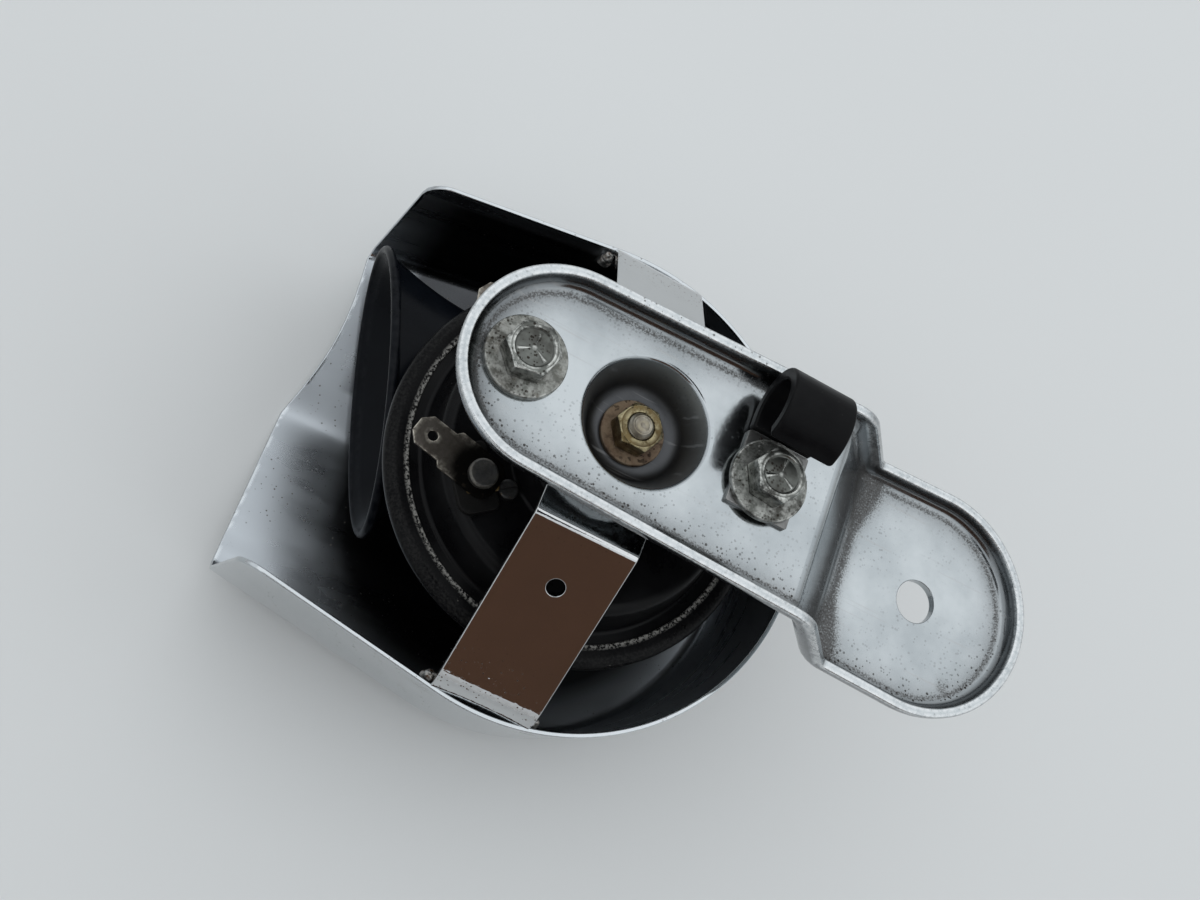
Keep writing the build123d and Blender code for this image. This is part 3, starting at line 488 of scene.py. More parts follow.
looks = {
    "bracket_plate": {
        # on the bracket the "deep" colour is the dark of painted shade in the cup, on the step and along the
        # rim
        "colour": (0.4418, 0.47, 0.4841), "shade": (0.3384, 0.3666, 0.3807), "metal": 1.0,
        "rough": (0.09, 0.19), "cloudScale": 45, "deep": (0.045, 0.045, 0.048), "deepRough": 0.05,
        "matte": 0.22, "speck": (0.05, 0.047, 0.045), "speckScale": 1250, "dots": 0.42, "grime": 0.25,
        # the worn colour is rim wear and painted highlight
        "patchScale": 60, "scratch": (0.36, 0.36, 0.36), "worn": (0.62, 0.635, 0.64), "wornRough": 0.1,
        "wornFrom": 0.45, "wornSpread": 0.12, "wornScale": 900, "edgeWear": 0.12,
        # the stain colour is dirt and painted shade along the rim and at the step's foot
        "stain": (0.035, 0.032, 0.03), "stainScale": 2300, "stainRough": 0.2, "stainDull": 0.4,
        "depth": 0.00012, "ripple": 0.0003, "rippleScale": 38},
    "zinc_bolt": {
        "colour": (0.1296, 0.1361, 0.1264), "shade": (0.0583, 0.0583, 0.0531), "metal": 1.0,
        "rough": (0.28, 0.46), "cloudScale": 170, "speck": (0.04, 0.035, 0.03), "speckScale": 1500,
        # the pale worn edges are partly wear and partly painted highlight
        "dots": 0.5, "worn": (0.62, 0.63, 0.60), "edgeWear": 0.95, "wornRough": 0.05,
        "stain": (0.10, 0.085, 0.06), "relief": 0.5},
    "clip_steel": {
        "colour": (0.20, 0.20, 0.20), "shade": (0.12, 0.12, 0.115), "metal": 1.0, "rough": (0.32, 0.5),
        "speck": (0.06, 0.045, 0.04), "worn": (0.36, 0.36, 0.35), "relief": 0.4},
    "black_vinyl": {
        "colour": (0.003, 0.003, 0.0035), "shade": (0.0055, 0.0055, 0.006), "rough": (0.28, 0.42),
        "cloudScale": 120, "speck": (0.05, 0.05, 0.048), "speckScale": 1300, "speckFrom": 0.74,
        "speckRise": 0.1, "worn": (0.012, 0.012, 0.012), "edgeWear": 0.4, "fineScale": 500,
        "ripple": 0.00025, "rippleScale": 90, "gleam": 0.06},
    "core_steel": {
        "colour": (0.34, 0.32, 0.27), "shade": (0.17, 0.15, 0.12), "metal": 1.0, "rough": (0.3, 0.45),
        "cloudScale": 300, "worn": (0.38, 0.34, 0.25)},
    "yellow_zinc": {
        "colour": (0.1267, 0.095, 0.0449), "shade": (0.0475, 0.0327, 0.0158), "metal": 1.0,
        "rough": (0.24, 0.4), "cloudScale": 210, "speck": (0.03, 0.02, 0.012), "speckScale": 900,
        # the pale worn edges are partly wear and partly painted highlight
        "speckFrom": 0.6, "worn": (0.372, 0.324, 0.198), "edgeWear": 0.95, "wornRough": 0.05,
        "relief": 0.35},
    "rusted_washer": {
        "colour": (0.07, 0.042, 0.025), "shade": (0.20, 0.14, 0.09), "metal": 0.6, "rough": (0.45, 0.75),
        "cloudScale": 210, "speck": (0.03, 0.016, 0.01), "speckFrom": 0.55,
        "worn": (0.26, 0.21, 0.15), "edgeWear": 0.6, "relief": 0.7, "grain": 0.6},
    "cover_chrome": {
        "colour": (0.56, 0.585, 0.60), "shade": (0.50, 0.53, 0.545), "metal": 1.0, "rough": (0.05, 0.1),
        "cloudScale": 30, "lining": (0.24, 0.36), "liningColour": (0.44, 0.47, 0.50),
        # the "deep" colour is painted shade and painted reflection deep inside the cover
        "deep": (0.03, 0.03, 0.032), "deepRough": 0.0, "speck": (0.18, 0.17, 0.16), "speckScale": 900,
        "dots": 0.25, "worn": (0.36, 0.36, 0.36), "edgeWear": 0.3, "wornRough": 0.2,
        "stain": (0.07, 0.05, 0.035), "relief": 0.05, "ripple": 0.0005, "rippleScale": 26},
    "strap_chrome": {
        "colour": (0.56, 0.57, 0.575), "shade": (0.52, 0.53, 0.535), "metal": 1.0, "rough": (0.05, 0.09),
        "cloudScale": 40, "speck": (0.10, 0.07, 0.05), "speckScale": 1300, "dots": 0.3, "grime": 0.15,
        "worn": (0.40, 0.40, 0.39), "edgeWear": 0.35, "stain": (0.08, 0.045, 0.025), "relief": 0.08,
        "ripple": 0.00012, "rippleScale": 60, "peel": 0.55, "peelScale": 700},
    "weld_metal": {
        "colour": (0.36, 0.36, 0.35), "shade": (0.2, 0.17, 0.14), "metal": 1.0, "rough": (0.25, 0.5),
        "cloudScale": 350, "speck": (0.08, 0.035, 0.015), "speckScale": 500, "speckFrom": 0.6,
        "worn": (0.45, 0.45, 0.44), "relief": 0.8, "depth": 0.0005},
    "black_enamel": {
        "colour": (0.0022, 0.0022, 0.0026), "shade": (0.0045, 0.0045, 0.005), "rough": (0.22, 0.4),
        "cloudScale": 70, "speck": (0.09, 0.085, 0.075), "speckScale": 1500, "speckFrom": 0.76,
        "speckRise": 0.1, "worn": (0.02, 0.019, 0.018), "edgeWear": 0.2, "relief": 0.2, "ripple": 0.0002,
        "rippleScale": 90, "gleam": 0.1},
    "rim_enamel": {
        "colour": (0.0025, 0.0025, 0.003), "shade": (0.005, 0.005, 0.0055), "rough": (0.22, 0.38),
        "cloudScale": 80, "speck": (0.1, 0.095, 0.085), "speckScale": 1300, "speckFrom": 0.75,
        # the worn colour is wear and painted highlight on the lip
        "worn": (0.24, 0.235, 0.22), "wornScale": 1500, "edgeWear": 0.12,
        "wornRough": 0.25, "relief": 0.25, "gleam": 0.06},
    "gasket_fibre": {
        "colour": (0.05, 0.045, 0.04), "shade": (0.09, 0.08, 0.06), "rough": (0.7, 0.9), "relief": 0.5},
    "spring_steel": {
        "colour": (0.4, 0.41, 0.42), "shade": (0.3, 0.31, 0.33), "metal": 1.0, "rough": (0.22, 0.35)},
    "coil_nylon": {
        "colour": (0.55, 0.52, 0.45), "shade": (0.48, 0.45, 0.38), "rough": (0.4, 0.55)},
    "coil_copper": {
        "colour": (0.5, 0.19, 0.08), "shade": (0.36, 0.12, 0.05), "metal": 1.0, "rough": (0.25, 0.4),
        "cloudScale": 400},
    "insulator_fibre": {
        "colour": (0.004, 0.004, 0.004), "shade": (0.008, 0.0075, 0.007), "rough": (0.4, 0.6),
        "speck": (0.03, 0.025, 0.02), "speckFrom": 0.74, "worn": (0.012, 0.011, 0.01), "edgeWear": 0.4,
        "relief": 0.4, "gleam": 0.1},
    "contact_brass": {
        "colour": (0.30, 0.20, 0.085), "shade": (0.15, 0.095, 0.045), "metal": 1.0, "rough": (0.35, 0.5),
        "cloudScale": 400, "worn": (0.5, 0.38, 0.2)},
    "contact_metal": {
        "colour": (0.45, 0.44, 0.43), "shade": (0.3, 0.3, 0.3), "metal": 1.0, "rough": (0.3, 0.4)},
    "tinned_blade": {
        # the "deep" colour is the painted shadow round the rivet
        "deep": (0.006, 0.0055, 0.005), "colour": (0.14, 0.125, 0.11), "shade": (0.075, 0.066, 0.056),
        "metal": 1.0, "rough": (0.34, 0.52), "cloudScale": 220, "speck": (0.05, 0.04, 0.03),
        "speckScale": 800, "speckFrom": 0.62, "worn": (0.75, 0.70, 0.60), "edgeWear": 1.0,
        "wornRough": 0.0, "relief": 0.4},
    "terminal_rivet": {
        "colour": (0.085, 0.085, 0.085), "shade": (0.04, 0.039, 0.037), "metal": 0.9,
        "rough": (0.38, 0.55), "cloudScale": 350, "speck": (0.16, 0.11, 0.06), "speckScale": 900,
        "speckFrom": 0.68, "worn": (0.3, 0.28, 0.24), "edgeWear": 0.6, "relief": 0.5},
    "trumpet_black": {
        "colour": (0.002, 0.0027, 0.0042), "shade": (0.0035, 0.0045, 0.0065), "rough": (0.25, 0.34),
        "cloudScale": 40, "speck": (0.06, 0.06, 0.058), "speckScale": 1500, "speckFrom": 0.77,
        "speckRise": 0.05, "worn": (0.02, 0.021, 0.024), "edgeWear": 0.4, "relief": 0.12,
        "fineScale": 1400, "gleam": 0.07},
}
finishes = {name: makeFinish(name, look) for name, look in looks.items()}
nodeFinish = {entry["node"]: entry["material_slot"] for entry in frame["record"]["subparts"]}
for nodeName, node in frame["nodes"].items():
    slotName = nodeFinish[nodeName]
    for index in range(max(1, len(node.material_slots))):
        if not node.material_slots:
            node.data.materials.append(finishes[slotName])
        node.material_slots[index].material = finishes[slotName]
print("finishes made:", len(finishes))


# Bracket: one pressed spoon with a turned-up rim, a cup, a step and an eye.
bracket = {
    "sheet": 2.3, "rim": 5.0, "bend": 3.6, "noseX": -21.2, "noseR": 23.9, "eyeX": 84.8, "eyeR": 28.3,
    "holeR": 5.25, "stepX": 46.5, "stepRun": 14.5, "stepDrop": 19.8, "crestR": 4.5, "footR": 7.0,
    "cupR": 15.0, "cupFloorR": 10.6, "cupDepth": 9.5, "cupBend": 1.6, "cupHollow": 3.8, "boltX": 30.0,
    "boltHoleR": 3.3, "edge": 0.55, "crestHalf": 0.507
}


def floorLevel(x, rise):
    # The floor seen from the side, moved square to itself by rise: flat, an arc over the crest, a
    # straight fall, an arc round the foot, and flat again.
    fall = np.arctan2(bracket["stepDrop"], bracket["stepRun"])
    half = np.tan(fall / 2)
    crest = bracket["crestR"] + rise
    foot = bracket["footR"] - rise
    crestX = bracket["stepX"] - bracket["crestR"] * half
    footX = bracket["stepX"] + bracket["stepRun"] + bracket["footR"] * half
    onCrest = rise - crest + np.sqrt(np.maximum(crest ** 2 - (x - crestX) ** 2, 0))
    onFall = rise - (x - bracket["stepX"] - rise * half) * np.tan(fall)
    onFoot = rise - bracket["stepDrop"] + foot - np.sqrt(np.maximum(foot ** 2 - (x - footX) ** 2, 0))
    ends = (crestX, crestX + crest * np.sin(fall), footX - foot * np.sin(fall), footX)
    return np.select([x <= end for end in ends], [rise, onCrest, onFall, onFoot], rise - bracket["stepDrop"])


def spoonLoop(count=760):
    # Two circles joined by their outer tangents, in equal steps.
    nose, eye = bracket["noseR"], bracket["eyeR"]
    reach = bracket["eyeX"] - bracket["noseX"]
    lean = np.arcsin((eye - nose) / reach)
    arcs = []
    for middle, radius, start, sweep in ((bracket["noseX"], nose, np.pi / 2 + lean, np.pi - 2 * lean),
                                         (bracket["eyeX"], eye, -np.pi / 2 - lean, np.pi + 2 * lean)):
        angle = start + sweep * np.linspace(0, 1, 400)
        arcs.append(np.stack([middle + radius * np.cos(angle), radius * np.sin(angle)], 1))
    loop = np.vstack(arcs)
    closed = np.vstack([loop, loop[:1]])
    length = np.concatenate([[0], np.cumsum(np.hypot(*np.diff(closed, axis=0).T))])
    at = np.linspace(0, length[-1], count, endpoint=False)
    return np.stack([np.interp(at, length, closed[:, 0]), np.interp(at, length, closed[:, 1])], 1)


def insideSpoon(p):
    # How far inside the spoon's outline a point lies: measured from the nose's circle, from the
    # eye's circle, or from the tangent that joins them, whichever the point faces.
    nose, eye = bracket["noseR"], bracket["eyeR"]
    reach = bracket["eyeX"] - bracket["noseX"]
    slope = (nose - eye) / reach
    level = np.sqrt(1 - slope ** 2)
    across = np.abs(p[:, 1])
    ahead = p[:, 0] - bracket["noseX"]
    station = ahead * level - across * slope
    side = nose - across * level - ahead * slope
    return np.select([station < 0, station > level * reach],
                     [nose - np.hypot(across, ahead), eye - np.hypot(across, ahead - reach)], side)


def makeBracket():
    size = bracket
    sheet, bend, rim = size["sheet"], size["bend"], size["rim"]
    edge = size["edge"]
    turn = bend + sheet
    quarter = np.linspace(0, 90, 9) * rad
    rows = [(turn - bend * np.sin(a), bend - bend * np.cos(a)) for a in quarter]
    rows += [(sheet - edge * (1 - np.cos(a)), rim - edge * (1 - np.sin(a))) for a in quarter[::2]]
    rows += [(sheet / 2, rim)]
    rows += [(edge * (1 - np.sin(a)), rim - edge * (1 - np.cos(a))) for a in quarter[::2]]
    rows += [(turn - turn * np.sin(a), bend - turn * np.cos(a)) for a in quarter[::-1]]
    cupEdge = size["cupR"] + 2 * size["cupBend"]
    cup = [(3.3, -size["cupDepth"]), (size["cupFloorR"], -size["cupDepth"], size["cupHollow"]),
           (size["cupR"], 0, size["cupBend"]), (cupEdge, 0)]
    closed = sheetSection(cup, sheet, edge=0.2, steps=10)
    # the ring runs from the floor's upper face down through the cup and back under it
    flatEnd = closed[:, 0] > cupEdge - 0.45
    ring = np.roll(closed, -np.flatnonzero(flatEnd & (closed[:, 1] > -sheet / 2))[0], 0)
    ring = ring[ring[:, 0] <= cupEdge - 0.45]
    if ring[0, 1] < -sheet / 2:
        ring = ring[::-1]
    cupRows = [(0.0, 0.0)] + [(point[0] - cupEdge, point[1]) for point in ring] + [(0.0, -sheet)]
    loops = [(spoonLoop(), rows, False), (circleLoop(0, 0, cupEdge, 144), cupRows, True)]
    for side in (-1, 1):
        loops.append(holeLoop(side * size["boltX"], 0, size["boltHoleR"], 48, easedRows(0, -sheet, 0.2)))
    loops.append(holeLoop(size["eyeX"], 0, size["holeR"], 96, easedRows(0, -sheet, 0.35, 4)))
    crestX = size["stepX"] - size["crestR"] * size["crestHalf"]
    # points for the bent floor: close rows over the step, and an even field elsewhere
    stations = np.concatenate([np.linspace(crestX - 0.6, 49, 15), np.linspace(50, 57.5, 7),
                               np.linspace(58.2, 65.4, 17)])
    grid = planGrid(stations, np.linspace(-1, 1, 31) * 20.6)
    field = planGrid(np.arange(-44, 113, 1.6), np.arange(-27, 28, 1.6))
    away = (field[:, 0] < stations[0] - 1) | (field[:, 0] > stations[-1] + 1)
    boltX = size["boltX"]
    for x, radius in ((0, cupEdge + 0.7), (-boltX, 4.2), (boltX, 4.2), (size["eyeX"], 6.2)):
        away &= np.hypot(field[:, 0] - x, field[:, 1]) > radius
    field = field[away & (insideSpoon(field) > turn + 0.8)]
    grid = np.vstack([grid, field])

    def place(plan, height):
        return np.stack([plan[:, 0], plan[:, 1], floorLevel(plan[:, 0], height)], 1)

    def rimWearAndHighlight(p):
        # the rim's two edges are painted bright, partly wear and partly painted highlight, its top less
        edges = np.clip(np.abs(insideSpoon(p) - sheet / 2) / 0.75, 0.3, 1)
        return (p[:, 2] > floorLevel(p[:, 0], 0.0) + rim - 0.7) * edges

    masks = {"worn": rimWearAndHighlight, "stain": cornerDirtAndShade, "grime": rimSpecks, "deep": paintedShade, "matte": cupOnly}
    makePiece("pressed_bracket", plateShells(loops, place, grid), "bracket_plate", ["bracket"], masks)


def cornerDirtAndShade(p):
    # Dirt and painted shade lie in a dark line where the floor turns up into the rim, and thin out across the
    # floor from there.
    height = p[:, 2] - floorLevel(p[:, 0], 0.0)
    inside = insideSpoon(p)
    line = np.exp(-((inside - 4.9) / 0.6) ** 2) * (height > -0.1)
    haze = 0.42 * np.exp(-np.maximum(inside - 5.6, 0) / 2.2) * (inside > 4.4) * (height > -0.1)
    # it is painted black at the foot of the step, dirt and painted shade, most of all in its two corners, and
    # there is one spot of dirt by the eye
    corner = np.clip((np.abs(p[:, 1]) - 8) / 12, 0, 1)
    foot = np.exp(-((p[:, 0] - 63.0) / (2.2 + 3.2 * corner)) ** 2) * (0.95 + 0.7 * corner) * (inside > 3)
    spot = 1.0 * np.exp(-(np.hypot(p[:, 0] - 97.8, p[:, 1] + 17) / 1.7) ** 2)
    return np.maximum.reduce([line, haze, foot * (height > -0.1), spot * (height > -0.1)])


def paintedShade(p):
    # Painted shade: the cup's wall and floor and the fall of the step are painted darker and duller than the
    # flats.
    height = p[:, 2] - floorLevel(p[:, 0], 0.0)
    fromStud = np.hypot(p[:, 0], p[:, 1])
    wall = np.clip(-(height + 0.6) / 2.0, 0, 1) * 0.62
    floor = np.clip(-(height + 3.5) / 4.5, 0, 1) * 0.93
    onFall = np.exp(-((p[:, 0] - 55.5) / 5.0) ** 2) * 0.68
    inside = insideSpoon(p)
    # and painted shade darkens the floor softly towards the rim, most of all round the nose
    byRim = np.exp(-np.maximum(inside - 5.9, 0) / 3.0) * (inside > 3) * (height > -0.1)
    byRim *= 0.25 + 0.3 * np.clip((-p[:, 0] - 24) / 12, 0, 1)
    # the rim's walls, and the outside of the wall lower down, are painted dark: a painted reflection of the
    # dark room and the black horn
    rimWall = np.clip((height - 0.4) / 0.8, 0, 1) * (inside < 5.9) * (height < 4.5) * 0.6
    outside = (inside < 1.2) * (height < 3.8) * 0.5
    return np.maximum.reduce([(fromStud < 15.6) * np.maximum(wall, floor), onFall, byRim, rimWall, outside])


def cupOnly(p):
    return (np.hypot(p[:, 0], p[:, 1]) < 15.4) * (p[:, 2] < -0.8) * 1.0


def rimSpecks(p):
    # Black specks lie thickly along the rim and thinly over the rest of the floor.
    inside = insideSpoon(p)
    low = 0.5 + 0.5 * np.clip(-p[:, 1] / 10, -1, 1)
    onFloor = np.exp(-np.maximum(inside - 5.6, 0) / (1.6 + 2.6 * low)) * (inside > 3.6) * (0.35 + 0.65 * low)
    onRim = (inside < 2.6) * np.where((p[:, 1] > 12) & (p[:, 0] > -16) & (p[:, 0] < 44), 1.0, 0.3)
    return np.maximum(onFloor, onRim)


makeBracket()
print("bracket made")


# Bolts, washers, nuts and the stud.
fasteners = {
    "boltX": 30.0, "boltR": 3.0, "headAcross": 11.1, "headHigh": 5.2, "recess": 4.45, "recessDeep": 0.55,
    "tail": 3.0, "washerR": 9.35, "washerThick": 1.5, "washerCone": 0.6, "nutAcross": 10.0, "nutHigh": 5.0,
    "clipSheet": 1.2, "studWasherR": 7.6, "studWasherThick": 1.2, "cupFloor": -9.5, "studTip": -2.2,
    "coreNutAcross": 13.0, "coreNutHigh": 4.5, "canTop": -18.3, "pitch": 1.0, "threadDeep": 0.55,
    "boltTurns": (0.35, 0.62), "nutHoleR": 3.05, "markHigh": 0.24, "markWide": 0.11
}


def hexRadius(angle, across):
    # Distance to the nearest of six flats, with the six corners cut back a little.
    local = (angle + np.pi / 6) % (np.pi / 3) - np.pi / 6
    return np.minimum(across / 2 / np.cos(local), across / np.sqrt(3) * 0.985)


def hexShell(x, y, across, low, high, hole, recess=None, lowCut=True, turn=0.0):
    # Rings of points, each a radius and a level, for all angles or for each: a face ring, a cone
    # that cuts the corners at 30 degrees, the six flats, the cone and face at the other end, and
    # the hole or the dished top.
    angle = np.linspace(0, 2 * np.pi, 144, endpoint=False)
    flats = hexRadius(angle + turn, across)
    faceR = across / 2 * 0.96
    cut = np.maximum(flats - faceR, 0) * np.tan(30 * rad)
    lowLevel = low + cut * lowCut
    rings = [(hole, low + 0.15), (hole + 0.15, low), (faceR - 0.2, low)]
    rings += [(faceR, low)] if lowCut else []
    rings += [(flats - 0.05, lowLevel), (flats, lowLevel + 0.12), (flats, high - cut - 0.15),
              (flats - 0.05, high - cut), (faceR, high), (faceR - 0.2, high)]
    if recess:
        wide, deep = recess
        # three raised marks: each falls off with the angle from its own direction
        away = [np.minimum((angle - spot) % (2 * np.pi), (spot - angle) % (2 * np.pi))
                for spot in (np.pi / 2, np.pi * 7 / 6, np.pi * 11 / 6)]
        mark = fasteners["markHigh"] * sum(np.exp(-(one / fasteners["markWide"]) ** 2) for one in away)
        rings += [(wide + 0.12, high), (wide - 0.05, high - 0.12), (wide - 0.3, high - deep + 0.05),
                  (wide - 0.6, high - deep), (wide - 0.9, high - deep + mark),
                  (wide * 0.3, high - deep + mark), (wide * 0.15, high - deep), (0, high - deep + 0.1)]
    else:
        rings += [(hole + 0.35, high), (hole, high - 0.35)]
    grid = np.stack([[x + r * np.cos(angle), y + r * np.sin(angle), z + 0 * angle] for r, z in rings])
    return gridShell(grid.transpose(0, 2, 1), wrapU=not recess, wrapV=True)


def threadShell(x, y, radius, low, high):
    # A rod whose radius falls by a triangle wave of the height plus one pitch for each turn, and
    # fades to a chamfer at both ends.
    count = int((high - low) / fasteners["pitch"] * 12)
    level = np.linspace(low, high, count)[:, None]
    angle = np.linspace(0, 2 * np.pi, 64, endpoint=False)[None]
    wave = np.abs(2 * ((level / fasteners["pitch"] - angle / (2 * np.pi)) % 1) - 1)
    chamfer = np.maximum(0.8 - np.minimum(level - low, high - level), 0)
    r = np.minimum(radius - fasteners["threadDeep"] * wave, radius - chamfer)
    grid = np.stack([x + r * np.cos(angle), y + r * np.sin(angle), level + 0 * angle], -1)
    pole = np.broadcast_to(np.array([x, y, 0.0]), (1, 64, 3)).copy()
    first, last = pole.copy(), pole.copy()
    first[..., 2] = low
    last[..., 2] = high
    # the end is faced off with a shallow turned groove and a dimple
    tip = []
    for share, drop in ((0.92, 0.0), (0.84, 0.22), (0.70, 0.22), (0.62, 0.02), (0.3, 0.0), (0.2, 0.16)):
        ring = grid[-1:] * 1.0
        ring[..., 0] = x + (grid[-1:, :, 0] - x) * share
        ring[..., 1] = y + (grid[-1:, :, 1] - y) * share
        ring[..., 2] = high - drop
        tip.append(ring)
    last[..., 2] = high - 0.2
    return gridShell(np.concatenate([first, grid] + tip + [last]), wrapV=True)


def makeFasteners():
    size = fasteners
    bolts, washers, nuts = [], [], []
    sheet = bracket["sheet"]
    for side, turn in zip((-1, 1), size["boltTurns"]):
        x = side * size["boltX"]
        seat = (size["clipSheet"] if side > 0 else 0.0)
        under = seat + size["washerThick"] + size["washerCone"]
        bolts.append(hexShell(x, 0, size["headAcross"], under, under + size["headHigh"], 0.0,
                              (size["recess"], size["recessDeep"]), lowCut=False, turn=turn))
        bolts.append(threadShell(x, 0, size["boltR"], -sheet - size["nutHigh"] - size["tail"], under + 0.3))
        cone = [(3.3, seat + size["washerCone"], 0.15), (size["washerR"], seat, 0.15),
                (size["washerR"], seat + size["washerThick"], 0.5),
                (3.3, seat + size["washerThick"] + size["washerCone"], 0.15)]
        washers.append(turnedShell(roundedPath(cone, closed=True, steps=4), 96, (x, 0)))
        nuts.append(hexShell(x, 0, size["nutAcross"], -sheet - size["nutHigh"], -sheet, size["nutHoleR"],
                             turn=turn))

    def rust(p):
        return 0.4 * np.exp(-((p[:, 2] - 1.2) / 1.2) ** 2)

    makePiece("dished_bolts", bolts, "zinc_bolt", ["bracket_bolts"], {"stain": rust})
    makePiece("cone_washers", washers, "zinc_bolt", ["bolt_washers"], {"stain": rust})
    makePiece("lower_nuts", nuts, "zinc_bolt", ["bolt_nuts"])
    top = size["cupFloor"] + size["studWasherThick"]
    nut = hexShell(0, 0, size["nutAcross"], top, top + size["nutHigh"], size["nutHoleR"], turn=0.5)
    makePiece("yellow_nut", [nut], "yellow_zinc", ["stud_nut"])
    seat = size["canTop"]
    nut = hexShell(0, 0, size["coreNutAcross"], seat, seat + size["coreNutHigh"], size["nutHoleR"])
    makePiece("can_nut", [nut], "zinc_bolt", ["core_nut"])
    flat = [(3.2, size["cupFloor"]), (size["studWasherR"], size["cupFloor"], 0.2),
            (size["studWasherR"], top, 0.35), (3.2, top, 0.2)]
    washer = turnedShell(roundedPath(flat, closed=True, steps=4), 96)
    makePiece("rusty_washer", [washer], "rusted_washer", ["stud_washer"])
    pole = [(0, -37.5), (8, -37.5, 0.5), (8, -19.5, 0.3), (2.6, -19.5), (0, -19.5)]
    makePiece("stud_and_pole", [turnedShell(roundedPath(pole, closed=True), 96),
                                threadShell(0, 0, 3.0, -19.6, size["studTip"])], "core_steel", ["core_stud"])


makeFasteners()
print("fasteners made")


# Cable clip: a steel strip whose loop is coated with vinyl.
clip = {
    "x": 30.0, "wide": 15.6, "sheet": 1.2, "coat": 0.9, "tabEnd": 8.2, "loopY": 12.6, "loopR": 7.6,
    "openDeg": 152.0, "stepY": 9.85, "washerR": 9.35
}


def clipPath(startY, low, extraDeg, stepped):
    # The band's middle line: flat, up over the coat's thickness, flat, then round the loop.
    size = clip
    middle = size["loopR"] + size["sheet"] / 2
    level = size["coat"] + size["sheet"] / 2
    angle = np.linspace(-90, size["openDeg"] + extraDeg, 72) * rad
    loop = np.stack([size["loopY"] + middle * np.cos(angle), level + middle + middle * np.sin(angle)], 1)
    if not stepped:
        return np.vstack([[(startY, level)], loop])
    run = roundedPath([(startY, low), (size["stepY"], low, 1.4), (size["stepY"] + 1.3, level, 1.4),
                       (size["loopY"] - 0.3, level)], steps=5)
    return np.vstack([run, loop])


def makeClip():
    size = clip
    half = size["wide"] / 2
    path = clipPath(-size["tabEnd"], size["sheet"] / 2, 0, True)
    place, length = alongPath(path, size["x"])
    narrow = half - size["coat"]
    shoulder = size["washerR"] + size["tabEnd"] + 0.05
    right = [(half, 0, 0.5), (half, shoulder, 0.5), (narrow, shoulder + 0.8, 0.4), (narrow, length[-1], 0.4)]
    outline = [(-half, 0, 0.5)] + right + [(-u, v, radius) for u, v, radius in right[:0:-1]]
    rows = easedRows(size["sheet"] / 2, -size["sheet"] / 2, 0.15)
    loops = [(denseLoop(roundedPath(outline, closed=True, steps=5), 0.7), rows, False),
             holeLoop(0, size["tabEnd"], 3.3, 48, rows)]
    inner = bandPoints(length, narrow - 0.6, 1.5)
    inner = inner[np.hypot(inner[:, 0], inner[:, 1] - size["tabEnd"]) > 4.2]
    makePiece("clip_strip", plateShells(loops, place, inner), "clip_steel", ["cable_clip"])
    start = size["washerR"] + 0.4
    path = clipPath(start, 0, 4, False)
    place, length = alongPath(path, size["x"])
    thick = size["sheet"] / 2 + size["coat"] - 0.05
    outline = [(-half, 0, 0.8), (half, 0, 0.8), (half, length[-1], 1.0), (-half, length[-1], 1.0)]
    edge = denseLoop(roundedPath(outline, closed=True, steps=6), 0.7)
    loops = [(edge, easedRows(thick, -thick, 0.6, 5), False)]
    shells = plateShells(loops, place, bandPoints(length, half - 1.4, 1.5))
    makePiece("vinyl_loop", shells, "black_vinyl", ["clip_sleeve"])


makeClip()
print("cable clip made")


# Chromed cover, its strap and the welds.
cover = {
    "radius": 64.0, "converge": 10.0, "draft": 3.0, "sheet": 1.2, "back": -46.0, "keel": -105.0,
    "brow": -86.0, "edgeR": 5.0, "mouthBack": 63.0, "mouthFront": 70.5, "cornerR": 6.0, "crease": 2.2,
    "ease": 0.35, "bow": 3.2
}


